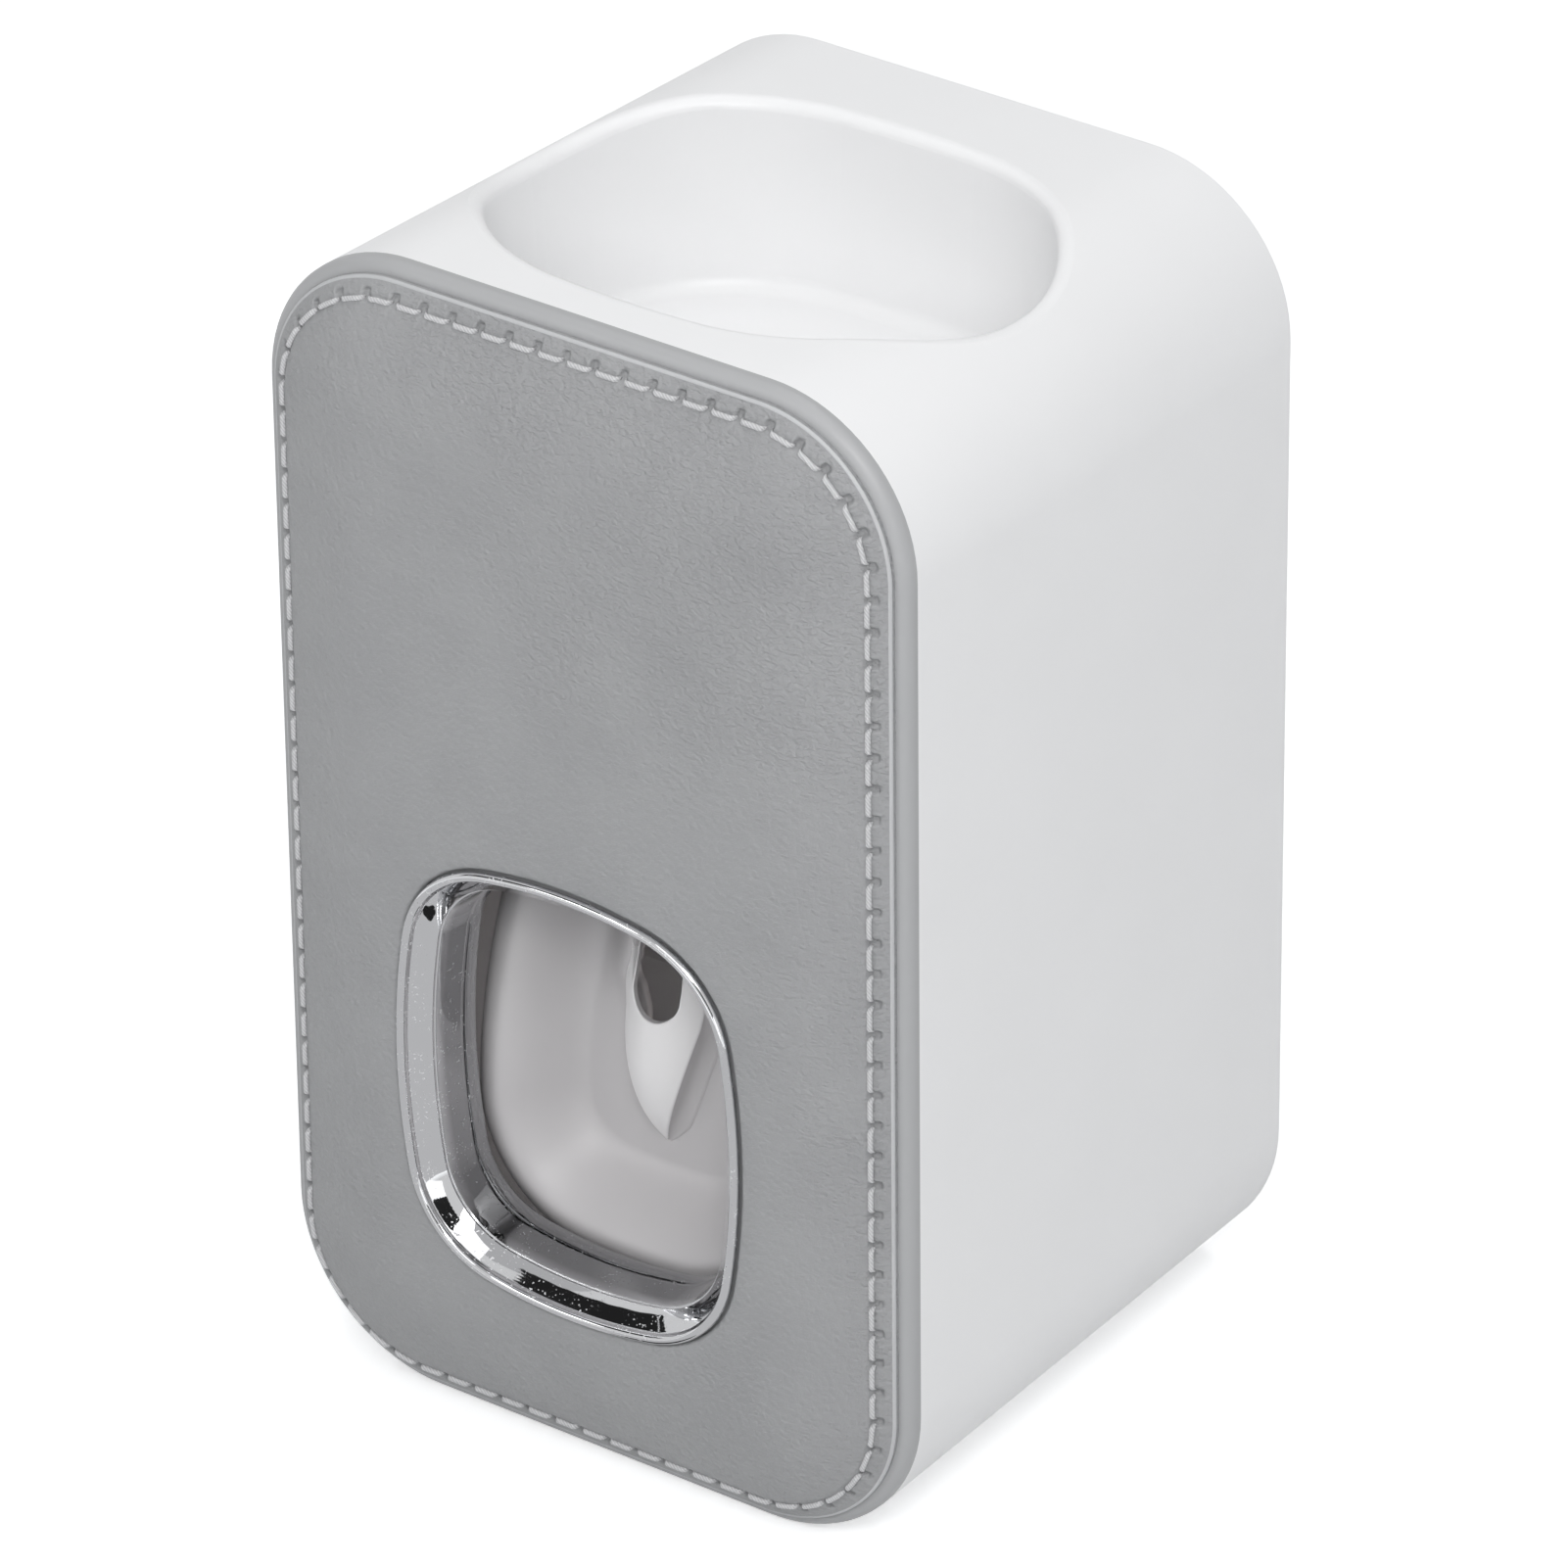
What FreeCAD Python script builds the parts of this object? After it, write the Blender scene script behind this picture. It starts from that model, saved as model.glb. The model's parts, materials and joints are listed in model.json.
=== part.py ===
import FreeCAD, Part
import Sketcher
import math
import os

# Toothpaste dispenser: a white tapered shell with a tube recess on top, a leather-faced front
# cover, a chrome-framed window, and a push lever inside that works a small paste pump.
# Frame: X right, Y towards the wall, Z up, origin on the floor under the middle of the box.

SIZES = {
    # white shell
    "shell_width": 66.0, "shell_depth": 56.2, "base_trim": 0.05,
    "shell_side_draft": 1.2, "shell_top_draft": 2.2,
    "shell_top_radius": 14.5, "shell_low_radius": 15.2, "shell_wall": 2.0,
    "overrun": 1.0, "fit_gap": 0.3, "slip_gap": 0.05,
    # recess on top, which takes the shoulder of an upside-down tube
    "recess_side_margin": 8.1, "recess_front_margin": 5.0, "recess_back_margin": 10.65,
    "recess_side_bow": 100.0,
    "recess_end_bow": 91.0, "recess_corner": 19.5, "recess_deep": 19.4,
    "recess_draft": 1.2, "recess_wall": 1.8, "recess_floor": 2.6,
    "recess_floor_round": 1.5, "recess_rim_round": 1.1,
    # front cover and its leather facing, heights measured from the shell's front edge
    "cover_plate": 1.5, "cover_edge_round": 1.1,
    "cover_skirt_inset": 2.4, "cover_skirt_wall": 1.2, "cover_skirt_deep": 2.8,
    "leather_inset": 1.3, "leather_edge": 0.6, "leather_thick": 1.0,
    "seam_inset": 2.7, "seam_height": 2.65,
    "pillow_inset": 7.0, "pillow_height": 4.25, "pillow_radius": 8.0,
    "crown_margin": 1.4, "crown_height": 5.25, "crown_radius": 5.0,
    # window and chrome bezel
    "window_low": 15.6, "bezel_half_width": 18.1, "bezel_half_height": 21.2,
    "bezel_end_bow": 45.0, "bezel_side_bow": 70.0, "bezel_corner": 10.8,
    "bezel_reach": 5.8, "bezel_bead": 0.7, "bezel_bead_round": 0.35,
    "bezel_funnel_inset": 2.6, "bezel_crease": 3.4, "bezel_throat_inset": 3.15,
    "bezel_body_inset": 0.8, "bezel_tail": 1.6, "bezel_lip": 0.1,
    # tube seal and pump
    "neck_hole": 9.6, "seal_bore": 6.5, "seal_neck": 9.4, "seal_flange": 11.5,
    "seal_flange_thick": 3.6, "seal_top_step": 0.4, "seal_lead": 0.8,
    "socket_wall": 1.7, "throat_radius": 8.2, "throat_deep": 5.6, "web_thick": 1.5,
    "chamber_radius": 7.0, "chamber_wall": 2.0, "chamber_long": 15.8,
    "port_radius": 1.2, "port_circle": 3.4, "port_count": 6, "valve_stem": 1.3,
    "valve_radius": 5.4, "valve_thick": 0.8, "valve_head": 2.0, "valve_head_high": 1.4,
    "pump_flange_thick": 2.5, "pump_flange_half_width": 18.5, "pump_flange_half_depth": 12.0,
    "pump_flange_corner": 4.0, "boss_radius": 3.2, "boss_x": 15.0, "boss_y": 8.4,
    "screw_radius": 1.05, "screw_long": 8.0, "screw_head": 2.2, "screw_head_high": 1.5,
    "screw_hole": 1.25, "screw_seat": 2.6, "screw_seat_deep": 1.2,
    "boss_hole": 1.1, "boss_hole_deep": 6.5,
    # outlet duct and nozzle
    "duct_half": 1.9, "duct_bore": 1.2, "duct_wall": 1.0, "duct_column": 13.2,
    "port_drop": 1.7, "nozzle_reach": 5.4, "nozzle_drop": 7.6, "nozzle_high": 5.0,
    "nozzle_radius": 2.8, "spigot_radius": 1.9, "spigot_long": 2.6, "nozzle_bore": 1.0,
    "collar_radius": 3.4, "collar_high": 1.8,
    # piston, crosshead and return spring
    "rod_radius": 3.0, "cap_lip": 1.8, "cap_plug": 2.2, "piston_high": 5.0,
    "piston_lift": 2.3, "seal_high": 3.0, "seal_groove": 1.6, "crosshead_radius": 5.0,
    "crosshead_rise": 3.0, "crosshead_drop": 2.6, "crosshead_socket": 1.4,
    "drive_pin_drop": 12.8, "drive_pin_radius": 1.5, "drive_pin_half": 14.0,
    "spring_radius": 4.3, "spring_wire": 0.42, "spring_turns": 4.0,
    # push lever; its heights are measured from the lower edge of the window
    "pivot_y": 12.375, "pivot_above_window": 4.0, "pivot_radius": 1.5, "cheek_x": 8.4,
    "cheek_thick": 2.2, "cheek_round": 3.4, "arm_thick": 2.4, "arm_round": 3.4,
    "fork_slot_half": 2.0, "fork_slot_gap": 0.25, "fork_round": 4.0,
    "dish_half_width": 14.2, "dish_foot": 1.8, "dish_drop": 4.6, "dish_corner": 10.5,
    "dish_low_bow": 60.0, "dish_wall": 1.7, "dish_inner_round": 4.5,
    "lip_y": 3.0, "lip_rise": 12.4, "lip_bow": 40.0, "lip_lean_rise": 30.4,
    "dish_back_y": 9.2, "dish_back_rise": 18.4, "dish_back_top_y": 16.0,
    "beak_y": 6.1, "beak_rise": 19.4, "beak_bow": 14.3, "beak_tip_rise": 11.0,
    "beak_half": 3.74, "beak_half_rise": 22.4, "beak_side_bow": 46.0, "lip_round": 0.6,
    "beak_bend_rise": 23.4, "beak_nose_rise": 30.4,
    "beak_nose_y": 7.1, "beak_top_y": 11.4,
    "slot_half": 2.45, "slot_rise": 23.8,
    # back plate, screws, wall plate and pad
    "back_rim_inset": 1.4, "back_rim_deep": 2.6, "plate_border": 2.0, "plate_set_in": 0.6,
    "pan_deep": 3.2, "pan_floor": 2.2, "pan_low": 16.0, "pan_drop": 31.2,
    "pan_corner": 4.0, "pan_wall": 1.8,
    "post_half": 3.4, "post_inset": 6.8, "post_low_z": 15.0, "post_drop": 27.2, "post_deep": 10.0,
    "bracket_side_gap": 0.8, "bracket_end_gap": 0.8, "bracket_thick": 2.6,
    "bracket_corner": 3.6, "hook_low_rise": 17.0, "hook_high_drop": 8.2, "hook_stem": 2.0,
    "hook_head_half_width": 4.0, "hook_head_half_high": 2.4, "hook_head_thick": 1.6,
    "keyhole_gap": 0.35, "bracket_travel": 8.0,
    "pad_inset": 2.0, "pad_thick": 1.3,
}

# shares chosen by hand for the lofted pillow and the inner pillow under the leather
PILLOW_UNDER_SHARE = 0.75


class Size(float):
    """A length together with the sheet formula that gives it."""

    def __new__(cls, value, text):
        size = float.__new__(cls, value)
        size.text = text
        return size

    def __add__(self, other):
        return Size(float(self) + float(other), "(%s + %s)" % (self.text, text_of(other)))

    def __radd__(self, other):
        return Size(float(other) + float(self), "(%s + %s)" % (text_of(other), self.text))

    def __sub__(self, other):
        return Size(float(self) - float(other), "(%s - %s)" % (self.text, text_of(other)))

    def __mul__(self, other):
        return Size(float(self) * float(other), "(%s * %s)" % (self.text, text_of(other)))

    def __rmul__(self, other):
        return self * other

    def __truediv__(self, other):
        return Size(float(self) / float(other), "(%s / %s)" % (self.text, text_of(other)))

    def __neg__(self):
        return Size(-float(self), "(-1 * %s)" % self.text)


def text_of(value):
    return value.text if isinstance(value, Size) else repr(float(value))


class Names:
    """Holds one Size for each cell of the sheet."""


def make_sheet(doc):
    sheet = doc.addObject("Spreadsheet::Sheet", "Sizes")
    names = Names()
    for row, (alias, value) in enumerate(SIZES.items(), start=1):
        cell = "B%d" % row
        sheet.set("A%d" % row, alias)
        sheet.set(cell, str(value))
        sheet.setAlias(cell, alias)
        setattr(names, alias, Size(value, "Sizes." + alias))
    doc.recompute()
    return names


doc = FreeCAD.newDocument("toothpaste_dispenser")
S = make_sheet(doc)
V = FreeCAD.Vector
nodes = []

# planes and heights that several pieces share
depth_over_all = S.bezel_reach + S.shell_depth + S.fit_gap + S.slip_gap
shell_front = S.bezel_reach - depth_over_all / 2
shell_back = shell_front + S.shell_depth
pad_face = depth_over_all / 2
recess_half_width = S.shell_width / 2 - S.recess_side_margin
recess_half_depth = (S.shell_depth - S.recess_front_margin - S.recess_back_margin) / 2
axis_y = shell_front + S.recess_front_margin + recess_half_depth
window_centre = S.window_low + S.bezel_half_height
bezel_top_z = window_centre + S.bezel_half_height
pivot_z = bezel_top_z + S.pivot_above_window
drive_pin_z = pivot_z - S.drive_pin_drop
chamber_low_z = pivot_z - S.fit_gap
web_low_z = chamber_low_z + S.chamber_long
web_top_z = web_low_z + S.web_thick
socket_floor_z = web_top_z + S.throat_deep
under_floor_z = socket_floor_z + S.seal_flange_thick
recess_floor_z = under_floor_z + S.recess_floor
shell_height = recess_floor_z + S.recess_deep
crown_inset = S.shell_width / 2 - S.bezel_half_width - S.crown_margin
post_x = S.shell_width / 2 - S.post_inset
pan_half_width = post_x - S.post_half - S.pan_wall - S.fit_gap
bracket_half_width = pan_half_width - S.bracket_side_gap
nozzle_low = bezel_top_z - S.nozzle_drop
post_high_z = shell_height - S.post_drop
pan_high = shell_height - S.pan_drop
bracket_high = pan_high - S.bracket_end_gap
bracket_low = S.pan_low + S.bracket_travel + S.overrun
hook_low_z = bracket_low + S.hook_low_rise
hook_high_z = bracket_high - S.hook_high_drop
dish_low = S.window_low + S.dish_foot
dish_high = pivot_z - S.dish_drop
boss_low_z = web_top_z + S.web_thick
cap_low_z = chamber_low_z - S.cap_lip
piston_low_z = chamber_low_z + S.cap_plug + S.piston_lift
crosshead_top_z = drive_pin_z + S.crosshead_rise
crosshead_floor_z = crosshead_top_z - S.crosshead_socket
pivot_y = shell_front + S.pivot_y


def new_body(label):
    body = doc.addObject("PartDesign::Body", label)
    body.Label = label
    return body


def keep(obj, label):
    obj.Label = label
    nodes.append(obj)
    return obj


def origin_plane(body, role):
    return next(f for f in body.Origin.OriginFeatures if f.Role == role)


def new_sketch(body, name, role, offset=None):
    sketch = body.newObject("Sketcher::SketchObject", name)
    sketch.AttachmentSupport = [(origin_plane(body, role), "")]
    sketch.MapMode = "FlatFace"
    if offset is not None:
        sketch.setExpression(".AttachmentOffset.Base.z", text_of(offset))
    return sketch


def front_sketch(body, name, y):
    """A sketch in X and Z on the plane at the given Y; its normal points to the front."""
    return new_sketch(body, name, "XZ_Plane", -y if isinstance(y, Size) else Size(-y, text_of(-y)))


def flat_sketch(body, name, z):
    return new_sketch(body, name, "XY_Plane", z)


def side_sketch(body, name, x=None):
    return new_sketch(body, name, "YZ_Plane", x)


def hold(sketch, constraint, value, name):
    """Adds a dimension and ties it to its formula."""
    index = sketch.addConstraint(constraint)
    sketch.renameConstraint(index, name)
    sketch.setExpression("Constraints." + name, text_of(value))


def place_point(sketch, geometry, end, x, y, name):
    hold(sketch, Sketcher.Constraint("DistanceX", -1, 1, geometry, end, float(x)), x, name + "_x")
    hold(sketch, Sketcher.Constraint("DistanceY", -1, 1, geometry, end, float(y)), y, name + "_y")


def outline(sketch, points):
    """A closed outline of straight runs through the given points."""
    first = sketch.GeometryCount
    count = len(points)
    for i, (x, y) in enumerate(points):
        nx, ny = points[(i + 1) % count]
        sketch.addGeometry(Part.LineSegment(V(float(x), float(y), 0), V(float(nx), float(ny), 0)), False)
    for i, (x, y) in enumerate(points):
        nxt = first + (i + 1) % count
        sketch.addConstraint(Sketcher.Constraint("Coincident", first + i, 2, nxt, 1))
        place_point(sketch, first + i, 1, x, y, "p%d" % (first + i))


def circle(sketch, x, y, radius):
    index = sketch.addGeometry(Part.Circle(V(float(x), float(y), 0), V(0, 0, 1), float(radius)), False)
    place_point(sketch, index, 3, x, y, "c%d" % index)
    hold(sketch, Sketcher.Constraint("Radius", index, float(radius)), radius, "r%d" % index)


def corner_arc(cx, cy, radius, start, end):
    arc = Part.Circle(V(float(cx), float(cy), 0), V(0, 0, 1), float(radius))
    return Part.ArcOfCircle(arc, math.radians(start), math.radians(end))


def rounded_rect(sketch, half_width, low, high, top_radius, low_radius):
    """A rounded rectangle about X = 0: arcs at the corners, joined by tangent lines."""
    first = sketch.GeometryCount
    top_x, low_x = half_width - top_radius, half_width - low_radius
    centres = [(top_x, high - top_radius, top_radius, 0), (-top_x, high - top_radius, top_radius, 90),
               (-low_x, low + low_radius, low_radius, 180), (low_x, low + low_radius, low_radius, 270)]
    for x, y, radius, start in centres:
        sketch.addGeometry(corner_arc(x, y, radius, start, start + 90), False)
    for i in range(4):
        here, there = sketch.Geometry[first + i], sketch.Geometry[first + (i + 1) % 4]
        sketch.addGeometry(Part.LineSegment(here.EndPoint, there.StartPoint), False)
    for i, (x, y, radius, start) in enumerate(centres):
        sketch.addConstraint(Sketcher.Constraint("Tangent", first + i, 2, first + 4 + i, 1))
        sketch.addConstraint(Sketcher.Constraint("Tangent", first + 4 + i, 2, first + (i + 1) % 4, 1))
        place_point(sketch, first + i, 3, x, y, "k%d" % (first + i))
        hold(sketch, Sketcher.Constraint("Radius", first + i, float(radius)), radius, "r%d" % (first + i))


def bowed_rect(sketch, centre, half_width, half_height, end_bow, side_bow, corner):
    """A rectangle with bowed sides: eight tangent arcs about the point (0, centre)."""
    first = sketch.GeometryCount
    up = half_height - end_bow
    across = half_width - side_bow
    # a corner arc touches an end arc and a side arc from inside, so its centre lies where two
    # circles about their centres cross
    far_end, far_side = float(end_bow) - float(corner), float(side_bow) - float(corner)
    x, y = corner_centre(float(across), float(up), far_side, far_end)
    turn_end = math.degrees(math.atan2(y - float(up), x))
    turn_side = math.degrees(math.atan2(y, x - float(across)))
    mid = float(centre)
    arcs = [(0, mid + float(up), end_bow, turn_end, 180 - turn_end),
            (-x, mid + y, corner, 180 - turn_end, 180 - turn_side),
            (-float(across), mid, side_bow, 180 - turn_side, 180 + turn_side),
            (-x, mid - y, corner, 180 + turn_side, 180 + turn_end),
            (0, mid - float(up), end_bow, 180 + turn_end, 360 - turn_end),
            (x, mid - y, corner, 360 - turn_end, 360 - turn_side),
            (float(across), mid, side_bow, -turn_side, turn_side),
            (x, mid + y, corner, turn_side, turn_end)]
    for cx, cy, radius, start, end in arcs:
        sketch.addGeometry(corner_arc(cx, cy, radius, start, end), False)
    for i in range(8):
        sketch.addConstraint(Sketcher.Constraint("Tangent", first + i, 2, first + (i + 1) % 8, 1))
    zero = Size(0, "0")
    place_point(sketch, first, 3, zero, centre + up, "end_up")
    place_point(sketch, first + 2, 3, -across, centre, "side_left")
    place_point(sketch, first + 4, 3, zero, centre - up, "end_low")
    place_point(sketch, first + 6, 3, across, centre, "side_right")
    for i, radius in ((0, end_bow), (4, end_bow), (2, side_bow), (6, side_bow),
                      (1, corner), (3, corner), (5, corner), (7, corner)):
        hold(sketch, Sketcher.Constraint("Radius", first + i, float(radius)), radius, "b%d" % i)


def corner_centre(side_x, end_y, far_side, far_end):
    """Where circles of radius far_side about (side_x, 0) and far_end about (0, end_y) cross."""
    span = math.hypot(side_x, end_y)
    along = (far_side ** 2 - far_end ** 2 + span ** 2) / (2 * span)
    off = math.sqrt(far_side ** 2 - along ** 2)
    ux, uy = -side_x / span, end_y / span
    choices = [(side_x + along * ux + off * k * uy, along * uy - off * k * ux) for k in (1, -1)]
    return max(choices, key=lambda point: point[0] + point[1])


def pad(body, sketch, length, name, toward_front=True, both=False):
    feature = body.newObject("PartDesign::Pad", name)
    feature.Profile = sketch
    feature.setExpression("Length", text_of(length))
    feature.Reversed = not toward_front
    if both:
        feature.SideType = "Symmetric"
    return feature


def pocket(body, sketch, length, name, along_normal=False, both=False):
    feature = body.newObject("PartDesign::Pocket", name)
    feature.Profile = sketch
    feature.setExpression("Length", text_of(length))
    feature.Reversed = along_normal
    if both:
        feature.SideType = "Symmetric"
    return feature


def loft(body, kind, name, sketches, ruled=True):
    feature = body.newObject("PartDesign::" + kind, name)
    feature.Profile = sketches[0]
    feature.Sections = sketches[1:]
    feature.Ruled = ruled
    return feature


def revolve(body, sketch, name, kind="Revolution"):
    feature = body.newObject("PartDesign::" + kind, name)
    feature.Profile = sketch
    feature.ReferenceAxis = (sketch, ["V_Axis"])
    feature.Angle = 360
    return feature


def round_edges(body, base, radius, name, chosen):
    """Fillets those edges of the base feature that the test picks."""
    doc.recompute()
    picked = ["Edge%d" % (i + 1) for i, edge in enumerate(base.Shape.Edges) if chosen(edge)]
    feature = body.newObject("PartDesign::Fillet", name)
    feature.Base = (base, picked)
    feature.setExpression("Radius", text_of(radius))
    return feature


def stand_at(obj, x=None, y=None, z=None):
    for letter, value in (("x", x), ("y", y), ("z", z)):
        if value is not None:
            obj.setExpression(".Placement.Base." + letter, text_of(value))


def in_plane_y(edge, y, slack=0.01):
    box = edge.BoundBox
    return abs(box.YMin - float(y)) < slack and abs(box.YMax - float(y)) < slack


def in_plane_z(edge, z, slack=0.01):
    box = edge.BoundBox
    return abs(box.ZMin - float(z)) < slack and abs(box.ZMax - float(z)) < slack


def cut(base, tools, label):
    """Base minus the tools, one after the other."""
    result = base
    for tool in tools:
        step = doc.addObject("Part::Cut", label + "_cut")
        step.Base, step.Tool = result, tool
        result = step
    return result


def fuse(pieces, label):
    step = doc.addObject("Part::MultiFuse", label + "_fuse")
    step.Shapes = pieces
    return step


def common(first, second, label):
    step = doc.addObject("Part::Common", label + "_common")
    step.Base, step.Tool = first, second
    return step


def shell_outline(sketch, share, inset):
    """The shell's section: share 0 at the front edge, 1 at the back edge, and past them."""
    half = S.shell_width / 2 - S.shell_side_draft * share - inset
    top = shell_height - S.shell_top_draft * share - inset
    rounded_rect(sketch, half, inset - S.base_trim, top, S.shell_top_radius - inset, S.shell_low_radius - inset)


def recess_outline(sketch, grow):
    bowed_rect(sketch, axis_y, recess_half_width + grow, recess_half_depth + grow,
               S.recess_end_bow + grow, S.recess_side_bow + grow, S.recess_corner + grow)


def make_shell():
    zero = Size(0, "0")
    outside = new_body("shell_outside")
    front = front_sketch(outside, "shell_front_outline", shell_front)
    shell_outline(front, 0, zero)
    back = front_sketch(outside, "shell_back_outline", shell_back)
    shell_outline(back, 1, zero)
    loft(outside, "AdditiveLoft", "shell_form", [front, back])
    shave = flat_sketch(outside, "base_outline", Size(0, "0"))
    reach = S.shell_width
    outline(shave, [(-reach, -reach), (reach, -reach), (reach, reach), (-reach, reach)])
    pocket(outside, shave, S.overrun, "flat_base")
    floor = flat_sketch(outside, "recess_floor_outline", recess_floor_z)
    recess_outline(floor, -S.recess_draft)
    mouth = flat_sketch(outside, "recess_mouth_outline", shell_height + S.overrun)
    recess_outline(mouth, zero)
    cup = loft(outside, "SubtractiveLoft", "recess_form", [floor, mouth])
    softened = round_edges(outside, cup, S.recess_floor_round, "recess_floor_fillet",
                           lambda edge: in_plane_z(edge, recess_floor_z))
    rim = round_edges(outside, softened, S.recess_rim_round, "recess_rim_fillet", is_recess_rim)
    neck = flat_sketch(outside, "neck_hole_outline", recess_floor_z)
    circle(neck, zero, axis_y, S.neck_hole)
    pocket(outside, neck, S.recess_floor + S.overrun, "neck_hole")
    outside.Tip = outside.Group[-1]
    return keep(cut(outside, [make_shell_inside()], "shell"), "shell")


def is_recess_rim(edge):
    """The recess's upper edge: it runs in the sloping top, inside the outline of the recess."""
    box = edge.BoundBox
    high = float(shell_height) - float(S.shell_top_draft) - float(S.slip_gap)
    inside = abs(box.Center.x) < float(recess_half_width) + float(S.overrun)
    clear_of_ends = box.YMin > float(shell_front) + float(S.overrun) and box.YMax < float(shell_back) - float(S.overrun)
    return box.ZMin > high and inside and clear_of_ends


def make_shell_inside():
    """The air inside the shell: what is cut from the outside form."""
    air = new_body("shell_inside")
    past = S.overrun / S.shell_depth
    front = front_sketch(air, "air_front_outline", shell_front - S.overrun)
    shell_outline(front, -past, S.shell_wall)
    back = front_sketch(air, "air_back_outline", shell_back + S.overrun)
    shell_outline(back, 1 + past, S.shell_wall)
    loft(air, "AdditiveLoft", "air_form", [front, back])
    rebate = front_sketch(air, "back_rebate_outline", shell_back + S.overrun)
    shell_outline(rebate, 1, S.back_rim_inset)
    pad(air, rebate, S.back_rim_deep + S.overrun, "back_rebate")
    cup = flat_sketch(air, "recess_outer_outline", under_floor_z)
    recess_outline(cup, S.recess_wall)
    pocket(air, cup, shell_height, "recess_walls", along_normal=True)
    bosses = flat_sketch(air, "pump_boss_outlines", boss_low_z)
    for x, y in screw_places(S.boss_x, S.boss_y):
        circle(bosses, x, axis_y + y, S.boss_radius)
    pocket(air, bosses, shell_height, "pump_bosses", along_normal=True)
    posts = front_sketch(air, "back_post_outlines", post_back)
    for side in (1, -1):
        for z in (S.post_low_z, post_high_z):
            inner = (post_x - S.post_half) * side
            outer = S.shell_width / 2 * side
            outline(posts, [(inner, z - S.post_half), (outer, z - S.post_half),
                            (outer, z + S.post_half), (inner, z + S.post_half)])
    pocket(air, posts, S.post_deep, "back_posts", along_normal=True)
    air.Tip = air.Group[-1]
    holes = [boss_hole(i, x, y) for i, (x, y) in enumerate(screw_places(S.boss_x, S.boss_y))]
    holes += [post_hole(i, x, z) for i, (x, z) in enumerate(post_places())]
    return fuse([air] + holes, "shell_inside")


post_back = shell_back - S.back_rim_deep


def screw_places(x, y):
    return [(x, y), (-x, y), (-x, -y), (x, -y)]


def post_places():
    return [(post_x, S.post_low_z), (-post_x, S.post_low_z),
            (-post_x, post_high_z), (post_x, post_high_z)]


def drill(label, radius, length, x, y, z, axis=None):
    """A cylinder along +Z, or along -Y where axis says front."""
    hole = doc.addObject("Part::Cylinder", label)
    hole.setExpression("Radius", text_of(radius))
    hole.setExpression("Height", text_of(length))
    if axis == "front":
        hole.Placement = FreeCAD.Placement(V(0, 0, 0), FreeCAD.Rotation(V(1, 0, 0), 90))
    if axis == "side":
        hole.Placement = FreeCAD.Placement(V(0, 0, 0), FreeCAD.Rotation(V(0, 1, 0), 90))
    stand_at(hole, x, y, z)
    return hole


def boss_hole(index, x, y):
    return drill("boss_hole_%d" % index, S.boss_hole, S.boss_hole_deep, x, axis_y + y, boss_low_z)


def post_hole(index, x, z):
    return drill("post_hole_%d" % index, S.boss_hole, S.post_deep - S.overrun, x, post_back, z, "front")


def cover_outline(sketch, inset, radius=None):
    top = radius if radius is not None else S.shell_top_radius - inset
    low = radius if radius is not None else S.shell_low_radius - inset
    rounded_rect(sketch, S.shell_width / 2 - inset, Size(0, "0") + inset, shell_height - inset, top, low)


def pillow(body, kind, name, drop, shrink):
    """The padded front above the seam: a smooth loft through three outlines."""
    steps = [(S.seam_inset + shrink, S.seam_height - drop, None),
             (S.pillow_inset + shrink, S.pillow_height - drop, S.pillow_radius),
             (crown_inset + shrink, S.crown_height - drop, S.crown_radius)]
    sections = []
    for index, (inset, height, radius) in enumerate(steps):
        sketch = front_sketch(body, "%s_section_%d" % (name, index), shell_front - height)
        cover_outline(sketch, inset, radius)
        sections.append(sketch)
    return loft(body, kind, name, sketches=sections, ruled=False)


def pillow_foot(body, name):
    """The upright foot of the cover's core, from the plate to the level of its seam."""
    foot = front_sketch(body, name, shell_front - S.cover_plate)
    cover_outline(foot, S.seam_inset + S.fit_gap)
    return foot, S.seam_height - S.leather_thick - S.cover_plate


def make_front_cover():
    body = new_body("cover_body")
    edge = front_sketch(body, "cover_plate_outline", shell_front)
    cover_outline(edge, Size(0, "0"))
    plate = pad(body, edge, S.cover_plate, "cover_plate")
    round_edges(body, plate, S.cover_edge_round, "cover_edge_fillet",
                lambda e: in_plane_y(e, shell_front - S.cover_plate))
    foot, rise = pillow_foot(body, "cover_core_foot")
    pad(body, foot, rise, "cover_core_step")
    pillow(body, "AdditiveLoft", "cover_core", S.leather_thick, S.fit_gap)
    skirt = front_sketch(body, "cover_skirt_outline", shell_front)
    cover_outline(skirt, S.cover_skirt_inset)
    cover_outline(skirt, S.cover_skirt_inset + S.cover_skirt_wall)
    pad(body, skirt, S.cover_skirt_deep, "cover_skirt", toward_front=False)
    window = front_sketch(body, "cover_window_outline", shell_front - S.crown_height)
    bezel_outline(window, S.slip_gap - S.bezel_body_inset)
    pocket(body, window, S.shell_depth / 2, "cover_window")
    body.Tip = body.Group[-1]
    return keep(body, "front_cover")


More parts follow.
